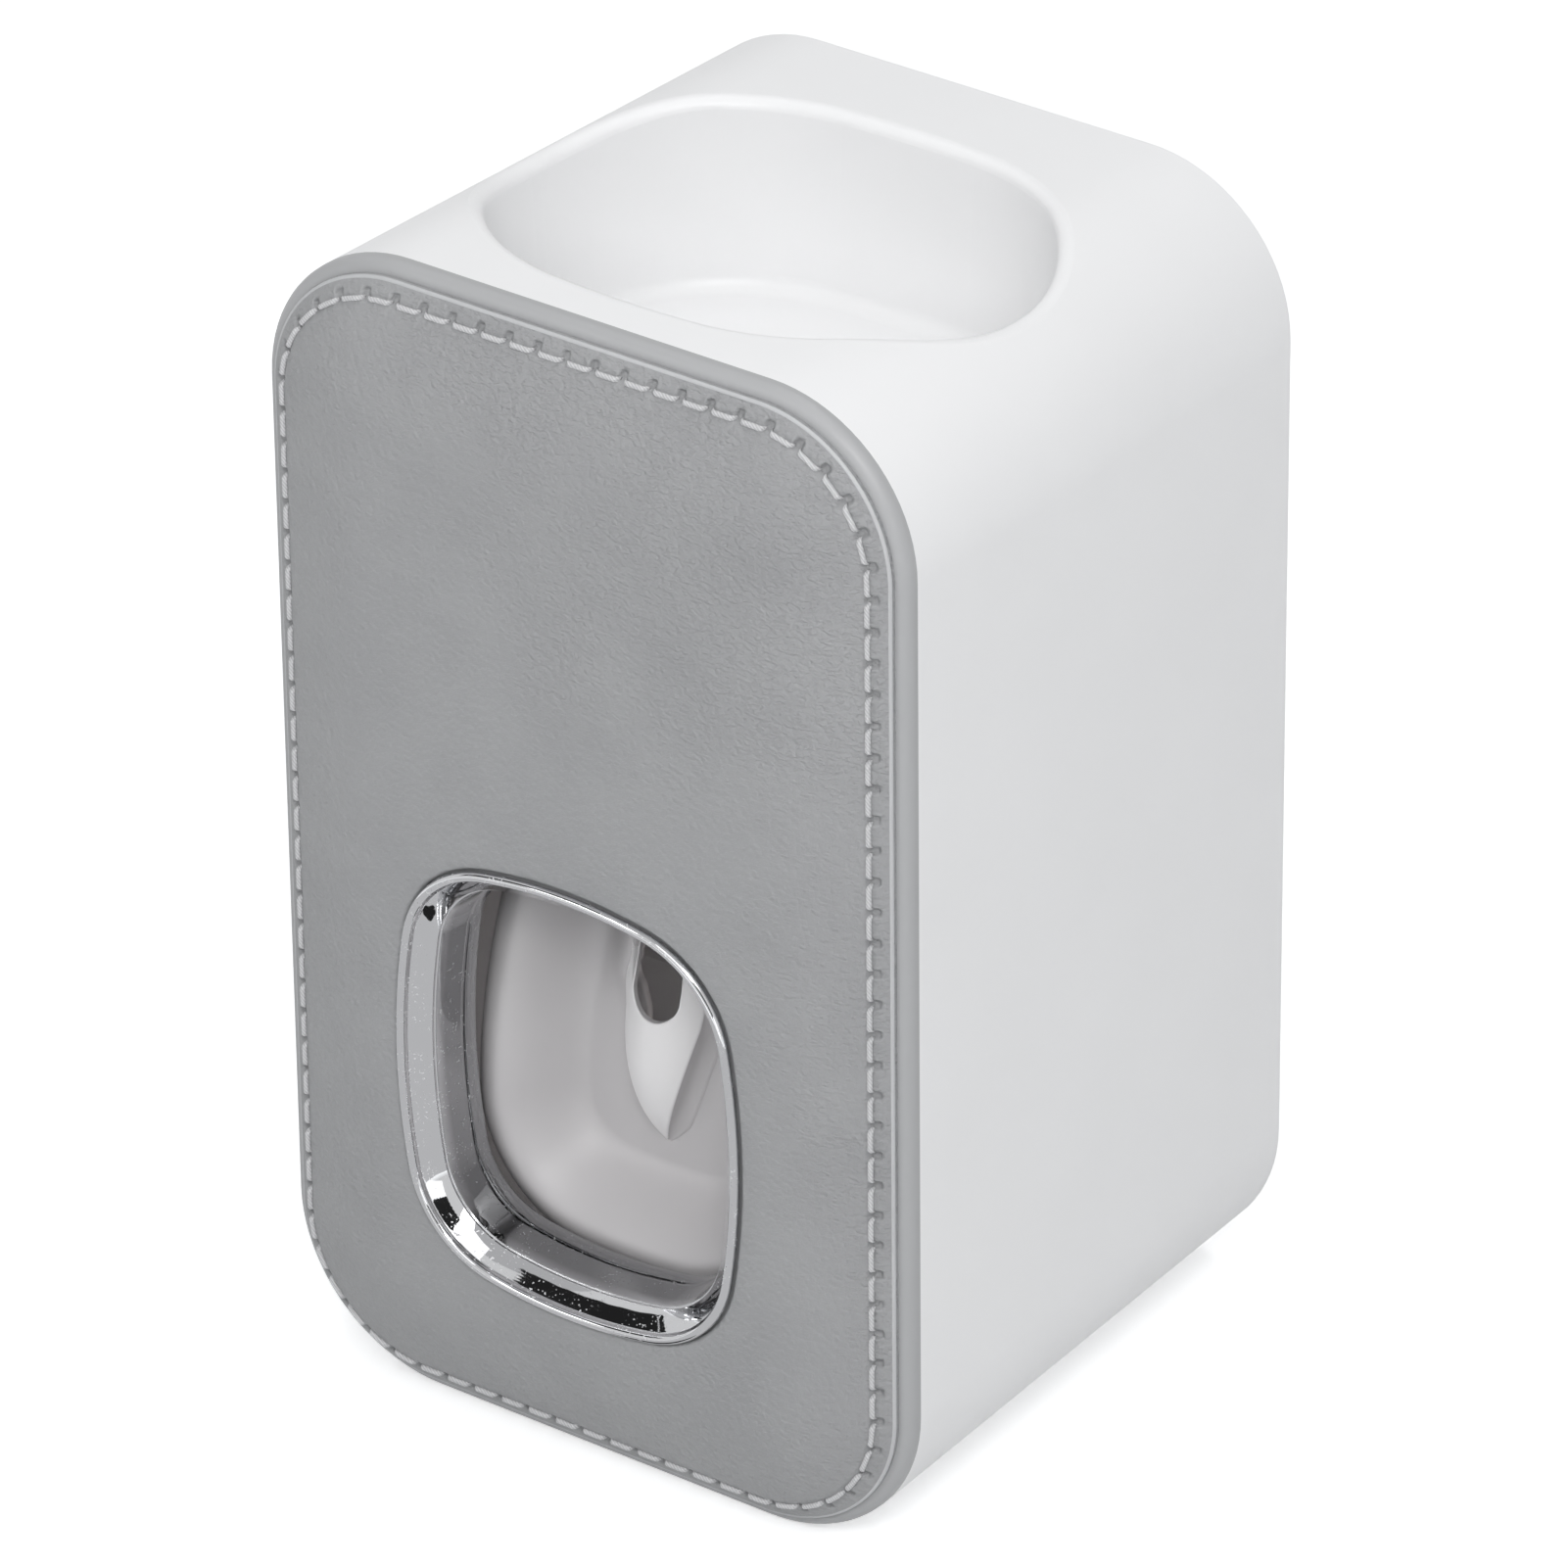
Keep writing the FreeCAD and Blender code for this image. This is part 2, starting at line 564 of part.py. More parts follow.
def make_leather():
    body = new_body("leather_body")
    edge = front_sketch(body, "leather_edge_outline", shell_front - S.cover_plate)
    cover_outline(edge, S.leather_inset)
    pad(body, edge, S.leather_edge, "leather_edge")
    low = front_sketch(body, "leather_bevel_low", shell_front - S.cover_plate - S.leather_edge)
    cover_outline(low, S.leather_inset)
    high = front_sketch(body, "leather_bevel_high", shell_front - S.seam_height)
    cover_outline(high, S.seam_inset)
    loft(body, "AdditiveLoft", "leather_bevel", [low, high])
    pillow(body, "AdditiveLoft", "leather_pillow", Size(0, "0"), Size(0, "0"))
    foot, rise = pillow_foot(body, "leather_hollow_foot")
    pocket(body, foot, rise, "leather_hollow_step", along_normal=True)
    pillow(body, "SubtractiveLoft", "leather_hollow", S.leather_thick, S.fit_gap)
    window = front_sketch(body, "leather_window_outline", shell_front - S.bezel_reach)
    bezel_outline(window, S.slip_gap - S.bezel_body_inset)
    pocket(body, window, S.shell_depth / 2, "leather_window")
    body.Tip = body.Group[-1]
    return keep(body, "leather_facing")


def bezel_outline(sketch, grow):
    bowed_rect(sketch, window_centre, S.bezel_half_width + grow, S.bezel_half_height + grow,
               S.bezel_end_bow + grow, S.bezel_side_bow + grow, S.bezel_corner + grow)


def make_bezel():
    body = new_body("bezel_body")
    bezel_front = shell_front - S.bezel_reach
    flange_thick = S.bezel_reach - S.crown_height
    crease = shell_front - S.bezel_crease
    tail = shell_front + S.bezel_tail
    rim = front_sketch(body, "bezel_rim_outline", bezel_front + flange_thick)
    bezel_outline(rim, Size(0, "0"))
    flange = pad(body, rim, flange_thick, "bezel_flange")
    tube = front_sketch(body, "bezel_tube_outline", bezel_front + flange_thick)
    bezel_outline(tube, -S.bezel_body_inset)
    tube_pad = pad(body, tube, S.crown_height + S.bezel_tail, "bezel_tube", toward_front=False)
    round_edges(body, tube_pad, S.bezel_bead_round, "bezel_bead_fillet", lambda e: in_plane_y(e, bezel_front))
    mouth = front_sketch(body, "funnel_mouth", bezel_front)
    bezel_outline(mouth, -S.bezel_bead)
    throat = front_sketch(body, "funnel_crease", crease)
    bezel_outline(throat, -S.bezel_funnel_inset)
    loft(body, "SubtractiveLoft", "bezel_funnel", [mouth, throat])
    start = front_sketch(body, "throat_start", crease)
    bezel_outline(start, -S.bezel_funnel_inset)
    end = front_sketch(body, "throat_end", shell_front)
    bezel_outline(end, -S.bezel_throat_inset)
    loft(body, "SubtractiveLoft", "bezel_throat", [start, end])
    lip = front_sketch(body, "bezel_lip_outline", shell_front)
    bezel_outline(lip, -(S.bezel_throat_inset + S.bezel_lip))
    pocket(body, lip, S.bezel_tail + S.overrun, "bezel_lip")
    body.Tip = body.Group[-1]
    return keep(body, "chrome_bezel")


def turned(label, points):
    """A piece turned about the pump's axis, from its half section in radius and height."""
    body = new_body(label + "_body")
    section = new_sketch(body, label + "_section", "XZ_Plane")
    outline(section, points)
    revolve(body, section, label + "_turned")
    stand_at(body, y=axis_y)
    return body


def make_tube_seal():
    zero = Size(0, "0")
    top = recess_floor_z - S.seal_top_step
    body = turned("tube_seal", [
        (S.seal_bore, socket_floor_z), (S.seal_flange, socket_floor_z), (S.seal_flange, under_floor_z),
        (S.seal_neck, under_floor_z), (S.seal_neck, top), (S.seal_bore + S.seal_lead, top),
        (S.seal_bore, top - S.seal_lead)])
    return keep(body, "tube_seal")


def make_pump_body():
    zero = Size(0, "0")
    chamber_outer = S.chamber_radius + S.chamber_wall
    socket_outer = S.seal_flange + S.slip_gap + S.socket_wall
    form = turned("pump_form", [
        (S.chamber_radius, chamber_low_z), (chamber_outer, chamber_low_z),
        (chamber_outer, boss_low_z), (socket_outer, boss_low_z), (socket_outer, under_floor_z),
        (S.seal_flange + S.slip_gap, under_floor_z), (S.seal_flange + S.slip_gap, socket_floor_z),
        (S.throat_radius, socket_floor_z), (S.throat_radius, web_top_z),
        (S.valve_stem, web_top_z), (S.valve_stem, web_low_z), (S.chamber_radius, web_low_z)])
    flange = new_body("pump_flange_body")
    face = flat_sketch(flange, "pump_flange_outline", boss_low_z)
    rounded_box(face, axis_y, S.pump_flange_half_width, S.pump_flange_half_depth, S.pump_flange_corner)
    circle(face, zero, axis_y, chamber_outer - S.slip_gap)
    for x, y in screw_places(S.boss_x, S.boss_y):
        circle(face, x, axis_y + y, S.screw_hole)
    pad(flange, face, S.pump_flange_thick, "pump_flange", toward_front=False)
    cheeks = [make_cheek("left_cheek", -1), make_cheek("right_cheek", 1)]
    solid = fuse([form, flange, make_duct()] + cheeks, "pump")
    ports = [drill("port_%d" % i, S.port_radius, S.web_thick + 2 * S.overrun,
                   *port_place(i), web_low_z - S.overrun) for i in range(int(S.port_count))]
    pins = [drill("cheek_hole", S.pivot_radius + S.slip_gap, S.shell_width, -(S.shell_width / 2),
                  pivot_y, pivot_z, "side")]
    return keep(cut(solid, ports + pins + duct_bores(), "pump"), "pump_body")


def port_place(index):
    turn = 2 * math.pi * index / S.port_count
    return S.port_circle * math.cos(turn), axis_y + S.port_circle * math.sin(turn)


def rounded_box(sketch, centre, half_width, half_depth, radius):
    rounded_rect(sketch, half_width, centre - half_depth, centre + half_depth, radius, radius)


def make_cheek(label, side):
    """A side plate of the pump that carries the lever's pivot."""
    body = new_body(label)
    start = S.cheek_x if side > 0 else -(S.cheek_x + S.cheek_thick)
    sketch = side_sketch(body, label + "_outline", start)
    low = pivot_z - S.cheek_round
    outline(sketch, [
        (pivot_y - S.cheek_round, low), (pivot_y + S.cheek_round, low),
        (axis_y + S.cheek_round, low + S.cheek_round * 2), (axis_y + S.cheek_round, boss_low_z - S.web_thick),
        (axis_y - S.cheek_round * 2, boss_low_z - S.web_thick),
        (pivot_y - S.cheek_round, pivot_z + S.cheek_round)])
    plate = pad(body, sketch, S.cheek_thick, label + "_plate")
    round_edges(body, plate, S.cheek_round / 2, label + "_fillet", is_cheek_corner)
    return body


def is_cheek_corner(edge):
    """Edges across the plate, near the pivot."""
    box = edge.BoundBox
    return box.XLength > float(S.slip_gap) and box.YLength < float(S.slip_gap) and box.YMax < float(pivot_y)


def duct_places():
    """The duct's passages: port height, column, and the height where it turns to the front."""
    port_z = web_low_z - S.port_drop
    column = shell_front + S.duct_column
    turn_z = nozzle_low + S.nozzle_high + S.duct_bore + S.duct_wall
    nozzle_y = shell_front + S.nozzle_reach
    return port_z, column, turn_z, nozzle_y


def make_duct():
    """A thin fin that carries paste from the chamber down through the lever's slot."""
    port_z, column, turn_z, nozzle_y = duct_places()
    half = S.duct_bore + S.duct_wall
    body = new_body("duct_body")
    sketch = side_sketch(body, "duct_outline")
    joint_y = axis_y - S.chamber_radius - S.chamber_wall / 2
    nozzle_top = nozzle_low + S.nozzle_high
    outline(sketch, [
        (joint_y, port_z + half), (column - half, port_z + half), (column - half, turn_z + half),
        (nozzle_y - half, turn_z + half), (nozzle_y - half, nozzle_top), (column + half, nozzle_top),
        (column + half, port_z - half), (joint_y, port_z - half)])
    pad(body, sketch, S.duct_half * 2, "duct_fin", both=True)
    spigot = flat_sketch(body, "spigot_outline", nozzle_top - S.spigot_long)
    circle(spigot, Size(0, "0"), nozzle_y, S.spigot_radius)
    pad(body, spigot, S.spigot_long + half, "duct_spigot")
    return body


def duct_bores():
    port_z, column, turn_z, nozzle_y = duct_places()
    zero = Size(0, "0")
    low = nozzle_low + S.nozzle_high - S.spigot_long - S.overrun
    return [drill("duct_port", S.duct_bore, axis_y - S.chamber_radius / 2 - column, zero,
                  axis_y - S.chamber_radius / 2, port_z, "front"),
            drill("duct_column", S.duct_bore, port_z - turn_z, zero, column, turn_z),
            drill("duct_run", S.duct_bore, column - nozzle_y, zero, column, turn_z, "front"),
            drill("duct_drop", S.duct_bore, turn_z - low, zero, nozzle_y, low)]


def make_inlet_valve():
    zero = Size(0, "0")
    stem = S.valve_stem - S.slip_gap
    low = web_low_z - S.slip_gap
    high = web_top_z + S.slip_gap
    body = turned("inlet_valve", [
        (zero, low - S.valve_thick * 2), (S.valve_stem, low - S.valve_thick * 2),
        (S.valve_radius, low - S.valve_thick / 2), (S.valve_radius, low), (stem, low), (stem, high),
        (S.valve_head, high), (S.valve_stem / 2, high + S.valve_head_high), (zero, high + S.valve_head_high)])
    return keep(body, "inlet_valve")


def make_cylinder_cap():
    body = turned("cylinder_cap", [
        (S.rod_radius + S.slip_gap, cap_low_z), (S.chamber_radius + S.chamber_wall, cap_low_z),
        (S.chamber_radius + S.chamber_wall, chamber_low_z),
        (S.chamber_radius - S.slip_gap / 2, chamber_low_z),
        (S.chamber_radius - S.slip_gap / 2, chamber_low_z + S.cap_plug),
        (S.rod_radius + S.slip_gap, chamber_low_z + S.cap_plug)])
    return keep(body, "cylinder_cap")


def piston_levels():
    head_top = piston_low_z + S.piston_high
    groove_low = piston_low_z + (S.piston_high - S.seal_high) / 2
    return head_top, groove_low, groove_low + S.seal_high


def make_piston():
    zero = Size(0, "0")
    head_top, groove_low, groove_high = piston_levels()
    head = S.chamber_radius - S.fit_gap
    groove = head - S.seal_groove
    body = turned("piston", [
        (zero, crosshead_floor_z), (S.rod_radius, crosshead_floor_z), (S.rod_radius, piston_low_z), (head, piston_low_z),
        (head, groove_low), (groove, groove_low), (groove, groove_high), (head, groove_high),
        (head, head_top), (zero, head_top)])
    return keep(body, "piston")


def make_piston_seal():
    head_top, groove_low, groove_high = piston_levels()
    inner = S.chamber_radius - S.fit_gap - S.seal_groove + S.slip_gap
    outer = S.chamber_radius - S.slip_gap
    waist = outer - S.seal_groove / 3
    low, high = groove_low + S.slip_gap, groove_high - S.slip_gap
    third = S.seal_high / 3
    body = turned("piston_seal", [
        (inner, low), (outer, low), (outer, low + third / 2), (waist, low + third),
        (waist, high - third), (outer, high - third / 2), (outer, high), (inner, high)])
    return keep(body, "piston_seal")


def make_crosshead():
    zero = Size(0, "0")
    low = drive_pin_z - S.crosshead_drop
    body = turned("crosshead", [
        (zero, low), (S.crosshead_radius, low), (S.crosshead_radius, crosshead_top_z),
        (S.rod_radius + S.slip_gap, crosshead_top_z), (S.rod_radius + S.slip_gap, crosshead_floor_z),
        (zero, crosshead_floor_z)])
    eye = drill("crosshead_eye", S.drive_pin_radius + S.slip_gap / 2, S.shell_width,
                -(S.shell_width / 2), axis_y, drive_pin_z, "side")
    return keep(cut(body, [eye], "crosshead"), "crosshead")


def make_drive_pin():
    pin = drill("drive_pin_rod", S.drive_pin_radius, S.drive_pin_half * 2, -S.drive_pin_half,
                axis_y, drive_pin_z, "side")
    return keep(pin, "drive_pin")


def coil_point(turns, low, pitch, radius):
    angle = 2 * math.pi * turns
    return V(radius * math.cos(angle), radius * math.sin(angle), low + pitch * turns)


def coil_tangent(turns, pitch, radius):
    angle = 2 * math.pi * turns
    return V(-radius * math.sin(angle), radius * math.cos(angle), pitch / (2 * math.pi)).normalize()


def arc_from(start, tangent, end):
    """The arc that leaves the start along the tangent and reaches the end."""
    chord = end - start
    along = V(chord).normalize()
    side = (tangent - along * tangent.dot(along)).normalize()
    sagitta = chord.Length / 2 * math.tan(tangent.getAngle(chord) / 2)
    return Part.Arc(start, start + chord / 2 + side * sagitta, end).toShape()


def biarc(start, leaving, end, arriving):
    """Two arcs that join the ends and keep both tangents."""
    span, both = end - start, leaving + arriving
    square = 2 * (1 - leaving.dot(arriving))
    middle = span.dot(both)
    reach = (math.sqrt(middle ** 2 + square * span.dot(span)) - middle) / square
    joint = (start + leaving * reach + end - arriving * reach) / 2
    back = arc_from(end, arriving * -1, joint)
    return [arc_from(start, leaving, joint), back.reversed()]


def make_return_spring():
    """A compression coil round the rod, between the crosshead and the cylinder cap."""
    radius, wire = float(S.spring_radius), float(S.spring_wire)
    low = float(crosshead_top_z) + wire + float(S.slip_gap)
    high = float(cap_low_z) - wire - float(S.slip_gap)
    pitch = (high - low) / float(S.spring_turns)
    edges = []
    for quarter in range(int(S.spring_turns) * 4):
        here, there = quarter / 4, (quarter + 1) / 4
        edges += biarc(coil_point(here, low, pitch, radius), coil_tangent(here, pitch, radius),
                       coil_point(there, low, pitch, radius), coil_tangent(there, pitch, radius))
    start = coil_point(0, low, pitch, radius)
    section = Part.Wire([Part.makeCircle(wire, start, coil_tangent(0, pitch, radius))])
    coil = Part.Wire(edges).makePipeShell([section], True, False)
    print("return spring: least gap between turns %.2f mm" % turn_gap(low, pitch, radius, wire))
    spring = doc.addObject("Part::Feature", "spring_coil")
    spring.Shape = coil
    spring.Placement = FreeCAD.Placement(V(0, float(axis_y), 0), FreeCAD.Rotation())
    return keep(spring, "return_spring")


def turn_gap(low, pitch, radius, wire):
    """The least distance between neighbouring turns, measured on points of the coil."""
    steps = 48
    points = [coil_point(k / steps, low, pitch, radius) for k in range(int(S.spring_turns) * steps + 1)]
    apart = [(a - b).Length for i, a in enumerate(points) for b in points[i + steps // 2:]]
    return min(apart) - 2 * wire


def make_nozzle():
    nozzle_y = shell_front + S.nozzle_reach
    top = nozzle_low + S.nozzle_high
    spigot_low = top - S.spigot_long
    body = turned("outlet_nozzle", [
        (S.nozzle_bore, nozzle_low), (S.spigot_radius, nozzle_low), (S.nozzle_radius, spigot_low),
        (S.nozzle_radius, top), (S.spigot_radius, top), (S.spigot_radius, spigot_low),
        (S.nozzle_bore, spigot_low - S.nozzle_bore)])
    stand_at(body, y=nozzle_y)
    return keep(body, "outlet_nozzle")


def make_nozzle_collar():
    top = nozzle_low + S.nozzle_high
    low = top - S.collar_high
    body = turned("nozzle_collar", [
        (S.nozzle_radius, low), (S.collar_radius, low), (S.collar_radius, top), (S.nozzle_radius, top)])
    stand_at(body, y=shell_front + S.nozzle_reach)
    return keep(body, "nozzle_collar")


def screw_shape(point_up):
    """One pan-head screw along Z, its head's seat at the origin."""
    head = Part.makeCylinder(float(S.screw_head), float(S.screw_head_high), V(0, 0, -float(S.screw_head_high)))
    head = head.makeFillet(float(S.screw_head_high) / 3, [head.Edges[2]])
    drive = Part.makeBox(float(S.screw_radius) * 2, float(S.screw_radius) / 2, float(S.screw_head_high))
    drive.translate(V(-float(S.screw_radius), -float(S.screw_radius) / 4, -float(S.screw_head_high) * 1.5))
    cross = drive.copy()
    cross.rotate(V(0, 0, 0), V(0, 0, 1), 90)
    shank = Part.makeCylinder(float(S.screw_radius), float(S.screw_long))
    screw = head.fuse(shank).cut(drive).cut(cross)
    if not point_up:
        screw.rotate(V(0, 0, 0), V(1, 0, 0), 90)
    return screw


def screw_group(label, places, point_up):
    shapes = []
    for place in places:
        screw = screw_shape(point_up)
        screw.translate(V(*[float(value) for value in place]))
        shapes.append(screw)
    group = doc.addObject("Part::Feature", label + "_set")
    group.Shape = Part.makeCompound(shapes)
    return keep(group, label)


def make_pump_screws():
    seat = boss_low_z - S.pump_flange_thick
    places = [(x, axis_y + y, seat) for x, y in screw_places(S.boss_x, S.boss_y)]
    return screw_group("pump_screws", places, True)


def window_height(rise):
    """A height of the lever, given by its rise above the window's lower edge."""
    return float(S.window_low) + float(rise)


def lip_points():
    """The lever's lip in side view: upright low down, then bowed back towards the pivot."""
    bow, lean = float(S.lip_bow), window_height(S.lip_lean_rise) - window_height(S.lip_rise)
    y0, z0 = float(shell_front) + float(S.lip_y), window_height(S.lip_rise)
    reach = bow - math.sqrt(bow ** 2 - lean ** 2)
    slope = lean / math.sqrt(bow ** 2 - lean ** 2)
    half = bow - math.sqrt(bow ** 2 - (lean / 2) ** 2)
    top = float(dish_high)
    top_y = y0 + reach + slope * (top - window_height(S.lip_lean_rise))
    return (V(0, y0, z0), V(0, y0 + half, z0 + lean / 2), V(0, y0 + reach, window_height(S.lip_lean_rise)), V(0, top_y, top))


def back_points(shift):
    """The dish's back wall in side view, moved back by the shift."""
    foot = V(0, float(shell_front) + float(S.dish_back_y) + shift, float(dish_low) - float(S.overrun))
    bend = V(0, foot.y, window_height(S.dish_back_rise))
    top = V(0, float(shell_front) + float(S.dish_back_top_y) + shift, float(dish_high))
    return foot, bend, top


def extruded_side(edges, half):
    """A side outline in Y and Z, extruded to both sides of X = 0."""
    face = Part.Face(Part.Wire(Part.__sortEdges__(edges)))
    face.translate(V(-half, 0, 0))
    return face.extrude(V(2 * half, 0, 0))


def lip_to_back(front_shift, back_shift, half):
    """The space between the lip's curve and the back wall."""
    low, mid, lean, top = lip_points()
    foot, bend, high = back_points(back_shift)
    shift = V(0, front_shift, 0)
    base = V(0, low.y, foot.z) + shift
    edges = [Part.LineSegment(base, low + shift).toShape(),
             Part.Arc(low + shift, mid + shift, lean + shift).toShape(),
             Part.LineSegment(lean + shift, top + shift).toShape(),
             Part.LineSegment(top + shift, high).toShape(), Part.LineSegment(high, bend).toShape(),
             Part.LineSegment(bend, foot).toShape(), Part.LineSegment(foot, base).toShape()]
    return extruded_side(edges, half)


def dish_prism(inset):
    """The dish's outline from the front, extruded through the whole lever."""
    half, low = float(S.dish_half_width) - inset, float(dish_low) + inset
    high, bow = float(dish_high), float(S.dish_low_bow)
    corner = float(S.dish_corner) - inset
    bow_z = low + bow
    swing = bow - corner
    cx = half - corner
    cz = bow_z - math.sqrt(swing ** 2 - cx ** 2)
    touch = V(cx * bow / swing, 0, bow_z - (bow_z - cz) * bow / swing)
    turn = math.atan2(touch.z - cz, touch.x - cx) / 2
    mid = V(cx + corner * math.cos(turn), 0, cz + corner * math.sin(turn))
    left = [V(-point.x, 0, point.z) for point in (touch, mid)]
    edges = [Part.Arc(left[0], V(0, 0, low), touch).toShape(),
             Part.Arc(touch, mid, V(half, 0, cz)).toShape(),
             Part.LineSegment(V(half, 0, cz), V(half, 0, high)).toShape(),
             Part.LineSegment(V(half, 0, high), V(-half, 0, high)).toShape(),
             Part.LineSegment(V(-half, 0, high), V(-half, 0, cz)).toShape(),
             Part.Arc(V(-half, 0, cz), left[1], left[0]).toShape()]
    face = Part.Face(Part.Wire(Part.__sortEdges__(edges)))
    face.translate(V(0, -float(S.shell_depth), 0))
    return face.extrude(V(0, 2 * float(S.shell_depth), 0))


def rounded_back(block, radius):
    """Rounds the edges where the back wall meets the floor and the side walls."""
    y_low = float(shell_front) + float(S.dish_back_y) - float(S.overrun)
    edges = [edge for edge in block.Edges
             if edge.BoundBox.YMin > y_low and edge.BoundBox.ZLength + edge.BoundBox.YLength > 0
             and abs(edge.BoundBox.Center.z - float(dish_high)) > float(S.overrun)
             and not (edge.BoundBox.XLength > float(S.dish_half_width) and edge.BoundBox.ZLength < float(S.slip_gap))]
    return block.makeFillet(radius, edges)


def make_dish():
    """The scoop that the brush pushes: an outer form less the hollow behind the lip."""
    wall = float(S.dish_wall)
    reach = float(S.shell_width)
    outer = lip_to_back(0, wall, reach).common(dish_prism(0))
    hollow = lip_to_back(-float(S.lip_bow), 0, reach).common(dish_prism(wall))
    outer = rounded_back(outer, float(S.dish_inner_round) + wall)
    hollow = rounded_back(hollow, float(S.dish_inner_round))
    return outer, hollow


def beak_outline(tip_z, top_z):
    """The beak from the front: two bowed sides that start at a point and widen upwards."""
    half, half_z, bow = float(S.beak_half), window_height(S.beak_half_rise), float(S.beak_side_bow)
    chord = math.hypot(half, half_z - tip_z)
    reach = math.sqrt(bow ** 2 - (chord / 2) ** 2) / chord
    cx = half / 2 - (half_z - tip_z) * reach
    cz = (half_z + tip_z) / 2 + half * reach

    def on_side(z, sign):
        return V(sign * (cx + math.sqrt(bow ** 2 - (z - cz) ** 2)), 0, z)

    edges = [Part.LineSegment(on_side(top_z, -1), on_side(top_z, 1)).toShape()]
    for sign in (1, -1):
        edges.append(Part.Arc(V(0, 0, tip_z), on_side((tip_z + top_z) / 2, sign), on_side(top_z, sign)).toShape())
    return edges


def on_lip(edge):
    """Whether an edge of the dish runs along the front of the lip, and isn't a short cross edge."""
    low, mid, lean, top = lip_points()
    bow = float(S.lip_bow)
    for share in (0.1, 0.5, 0.9):
        first, last = edge.ParameterRange
        point = edge.valueAt(first + (last - first) * share)
        if point.z < low.z:
            y = low.y
        elif point.z < lean.z:
            y = low.y + bow - math.sqrt(bow ** 2 - (point.z - low.z) ** 2)
        else:
            y = lean.y + (top.y - lean.y) * (point.z - lean.z) / (top.z - lean.z)
        if abs(point.y - y) > float(S.slip_gap):
            return False
    return edge.Length > 2 * float(S.dish_wall)


def make_beak(outer):
    """The wedge in the middle of the dish that carries the slot and narrows to a point."""
    y0, z0 = float(shell_front) + float(S.beak_y), window_height(S.beak_rise)
    bow, tip_z = float(S.beak_bow), window_height(S.beak_tip_rise)

    def on_bow(z):
        return V(0, y0 + bow - math.sqrt(bow ** 2 - (z - z0) ** 2), z)

    low, high = on_bow(tip_z - float(S.overrun)), on_bow(window_height(S.beak_bend_rise))
    nose = V(0, float(shell_front) + float(S.beak_nose_y), window_height(S.beak_nose_rise))
    back = float(shell_front) + float(S.dish_back_top_y) + float(S.dish_wall) + float(S.overrun)
    top_z = float(dish_high)
    top = V(0, float(shell_front) + float(S.beak_top_y), top_z)
    edges = [Part.Arc(low, on_bow(z0), high).toShape(), Part.LineSegment(high, nose).toShape(),
             Part.LineSegment(nose, top).toShape(),
             Part.LineSegment(top, V(0, back, top_z)).toShape(),
             Part.LineSegment(V(0, back, top_z), V(0, back, low.z)).toShape(),
             Part.LineSegment(V(0, back, low.z), low).toShape()]
    side = extruded_side(edges, float(S.dish_half_width))
    face = Part.Face(Part.Wire(Part.__sortEdges__(beak_outline(tip_z, top_z))))
    face.translate(V(0, -float(S.shell_depth), 0))
    wedge = face.extrude(V(0, 2 * float(S.shell_depth), 0))
    return side.common(wedge).common(outer)


def make_slot_tool():
    """The slot, round at its lower end and open at the lever's upper edge."""
    half, low = float(S.slot_half), window_height(S.slot_rise)
    reach = 2 * float(S.shell_depth)
    top = float(dish_high) + 2 * float(S.overrun)
    end = Part.makeCylinder(half, reach, V(0, -reach / 2, low + half), V(0, 1, 0))
    run = Part.makeBox(2 * half, reach, top - low - half, V(-half, -reach / 2, low + half))
    return end.fuse(run)


def arm_shape(side):
    """One side arm: from the dish up to the pivot, and back to the fork that holds the pin."""
    inner = float(S.cheek_x) + float(S.cheek_thick) + float(S.fit_gap)
    thick = float(S.arm_thick)
    py, pz = float(pivot_y), float(pivot_z)
    fy = float(axis_y) - float(S.fork_slot_half) + float(S.fit_gap)
    fz = float(drive_pin_z)
    arm, fork = float(S.arm_round), float(S.fork_round)
    slot_half = float(S.fork_slot_half)
    start = inner if side > 0 else -inner - thick

    def disc(y, z, radius):
        return Part.makeCylinder(radius, thick, V(start, y, z), V(1, 0, 0))

    def band(a, b, ra, rb):
        """The plate under the outer tangents of two discs."""
        span = math.hypot(b[0] - a[0], b[1] - a[1])
        turn = math.atan2(b[1] - a[1], b[0] - a[0])
        lean = math.acos((ra - rb) / span)
        corners = []
        for sign, (centre, radius) in ((1, (a, ra)), (1, (b, rb)), (-1, (b, rb)), (-1, (a, ra))):
            angle = turn + sign * lean
            corners.append(V(start, centre[0] + radius * math.cos(angle), centre[1] + radius * math.sin(angle)))
        face = Part.Face(Part.makePolygon(corners + corners[:1]))
        return face.extrude(V(thick, 0, 0))

    dish_y = float(shell_front) + float(S.dish_back_y) + float(S.dish_wall)
    dish_z = float(dish_high) - float(S.dish_inner_round) * 2
    shape = disc(py, pz, arm).multiFuse([
        band((py, pz), (fy - slot_half, fz), arm, fork), disc(fy - slot_half, fz, fork),
        band((fy - slot_half, fz), (fy + slot_half, fz), fork, fork), disc(fy + slot_half, fz, fork),
        band((py, pz), (dish_y, dish_z), arm, float(S.dish_wall)), disc(dish_y, dish_z, float(S.dish_wall))])
    gap = float(S.drive_pin_radius) + float(S.fork_slot_gap)
    reach = float(S.overrun)

    def through(y, z, radius):
        return Part.makeCylinder(radius, thick + 2 * reach, V(start - reach, y, z), V(1, 0, 0))

    slot = Part.makeBox(thick + 2 * reach, 2 * slot_half, 2 * gap, V(start - reach, fy - slot_half, fz - gap))
    slot = slot.multiFuse([through(fy - slot_half, fz, gap), through(fy + slot_half, fz, gap)])
    return shape.cut(slot).cut(through(py, pz, float(S.pivot_radius) + float(S.slip_gap)))


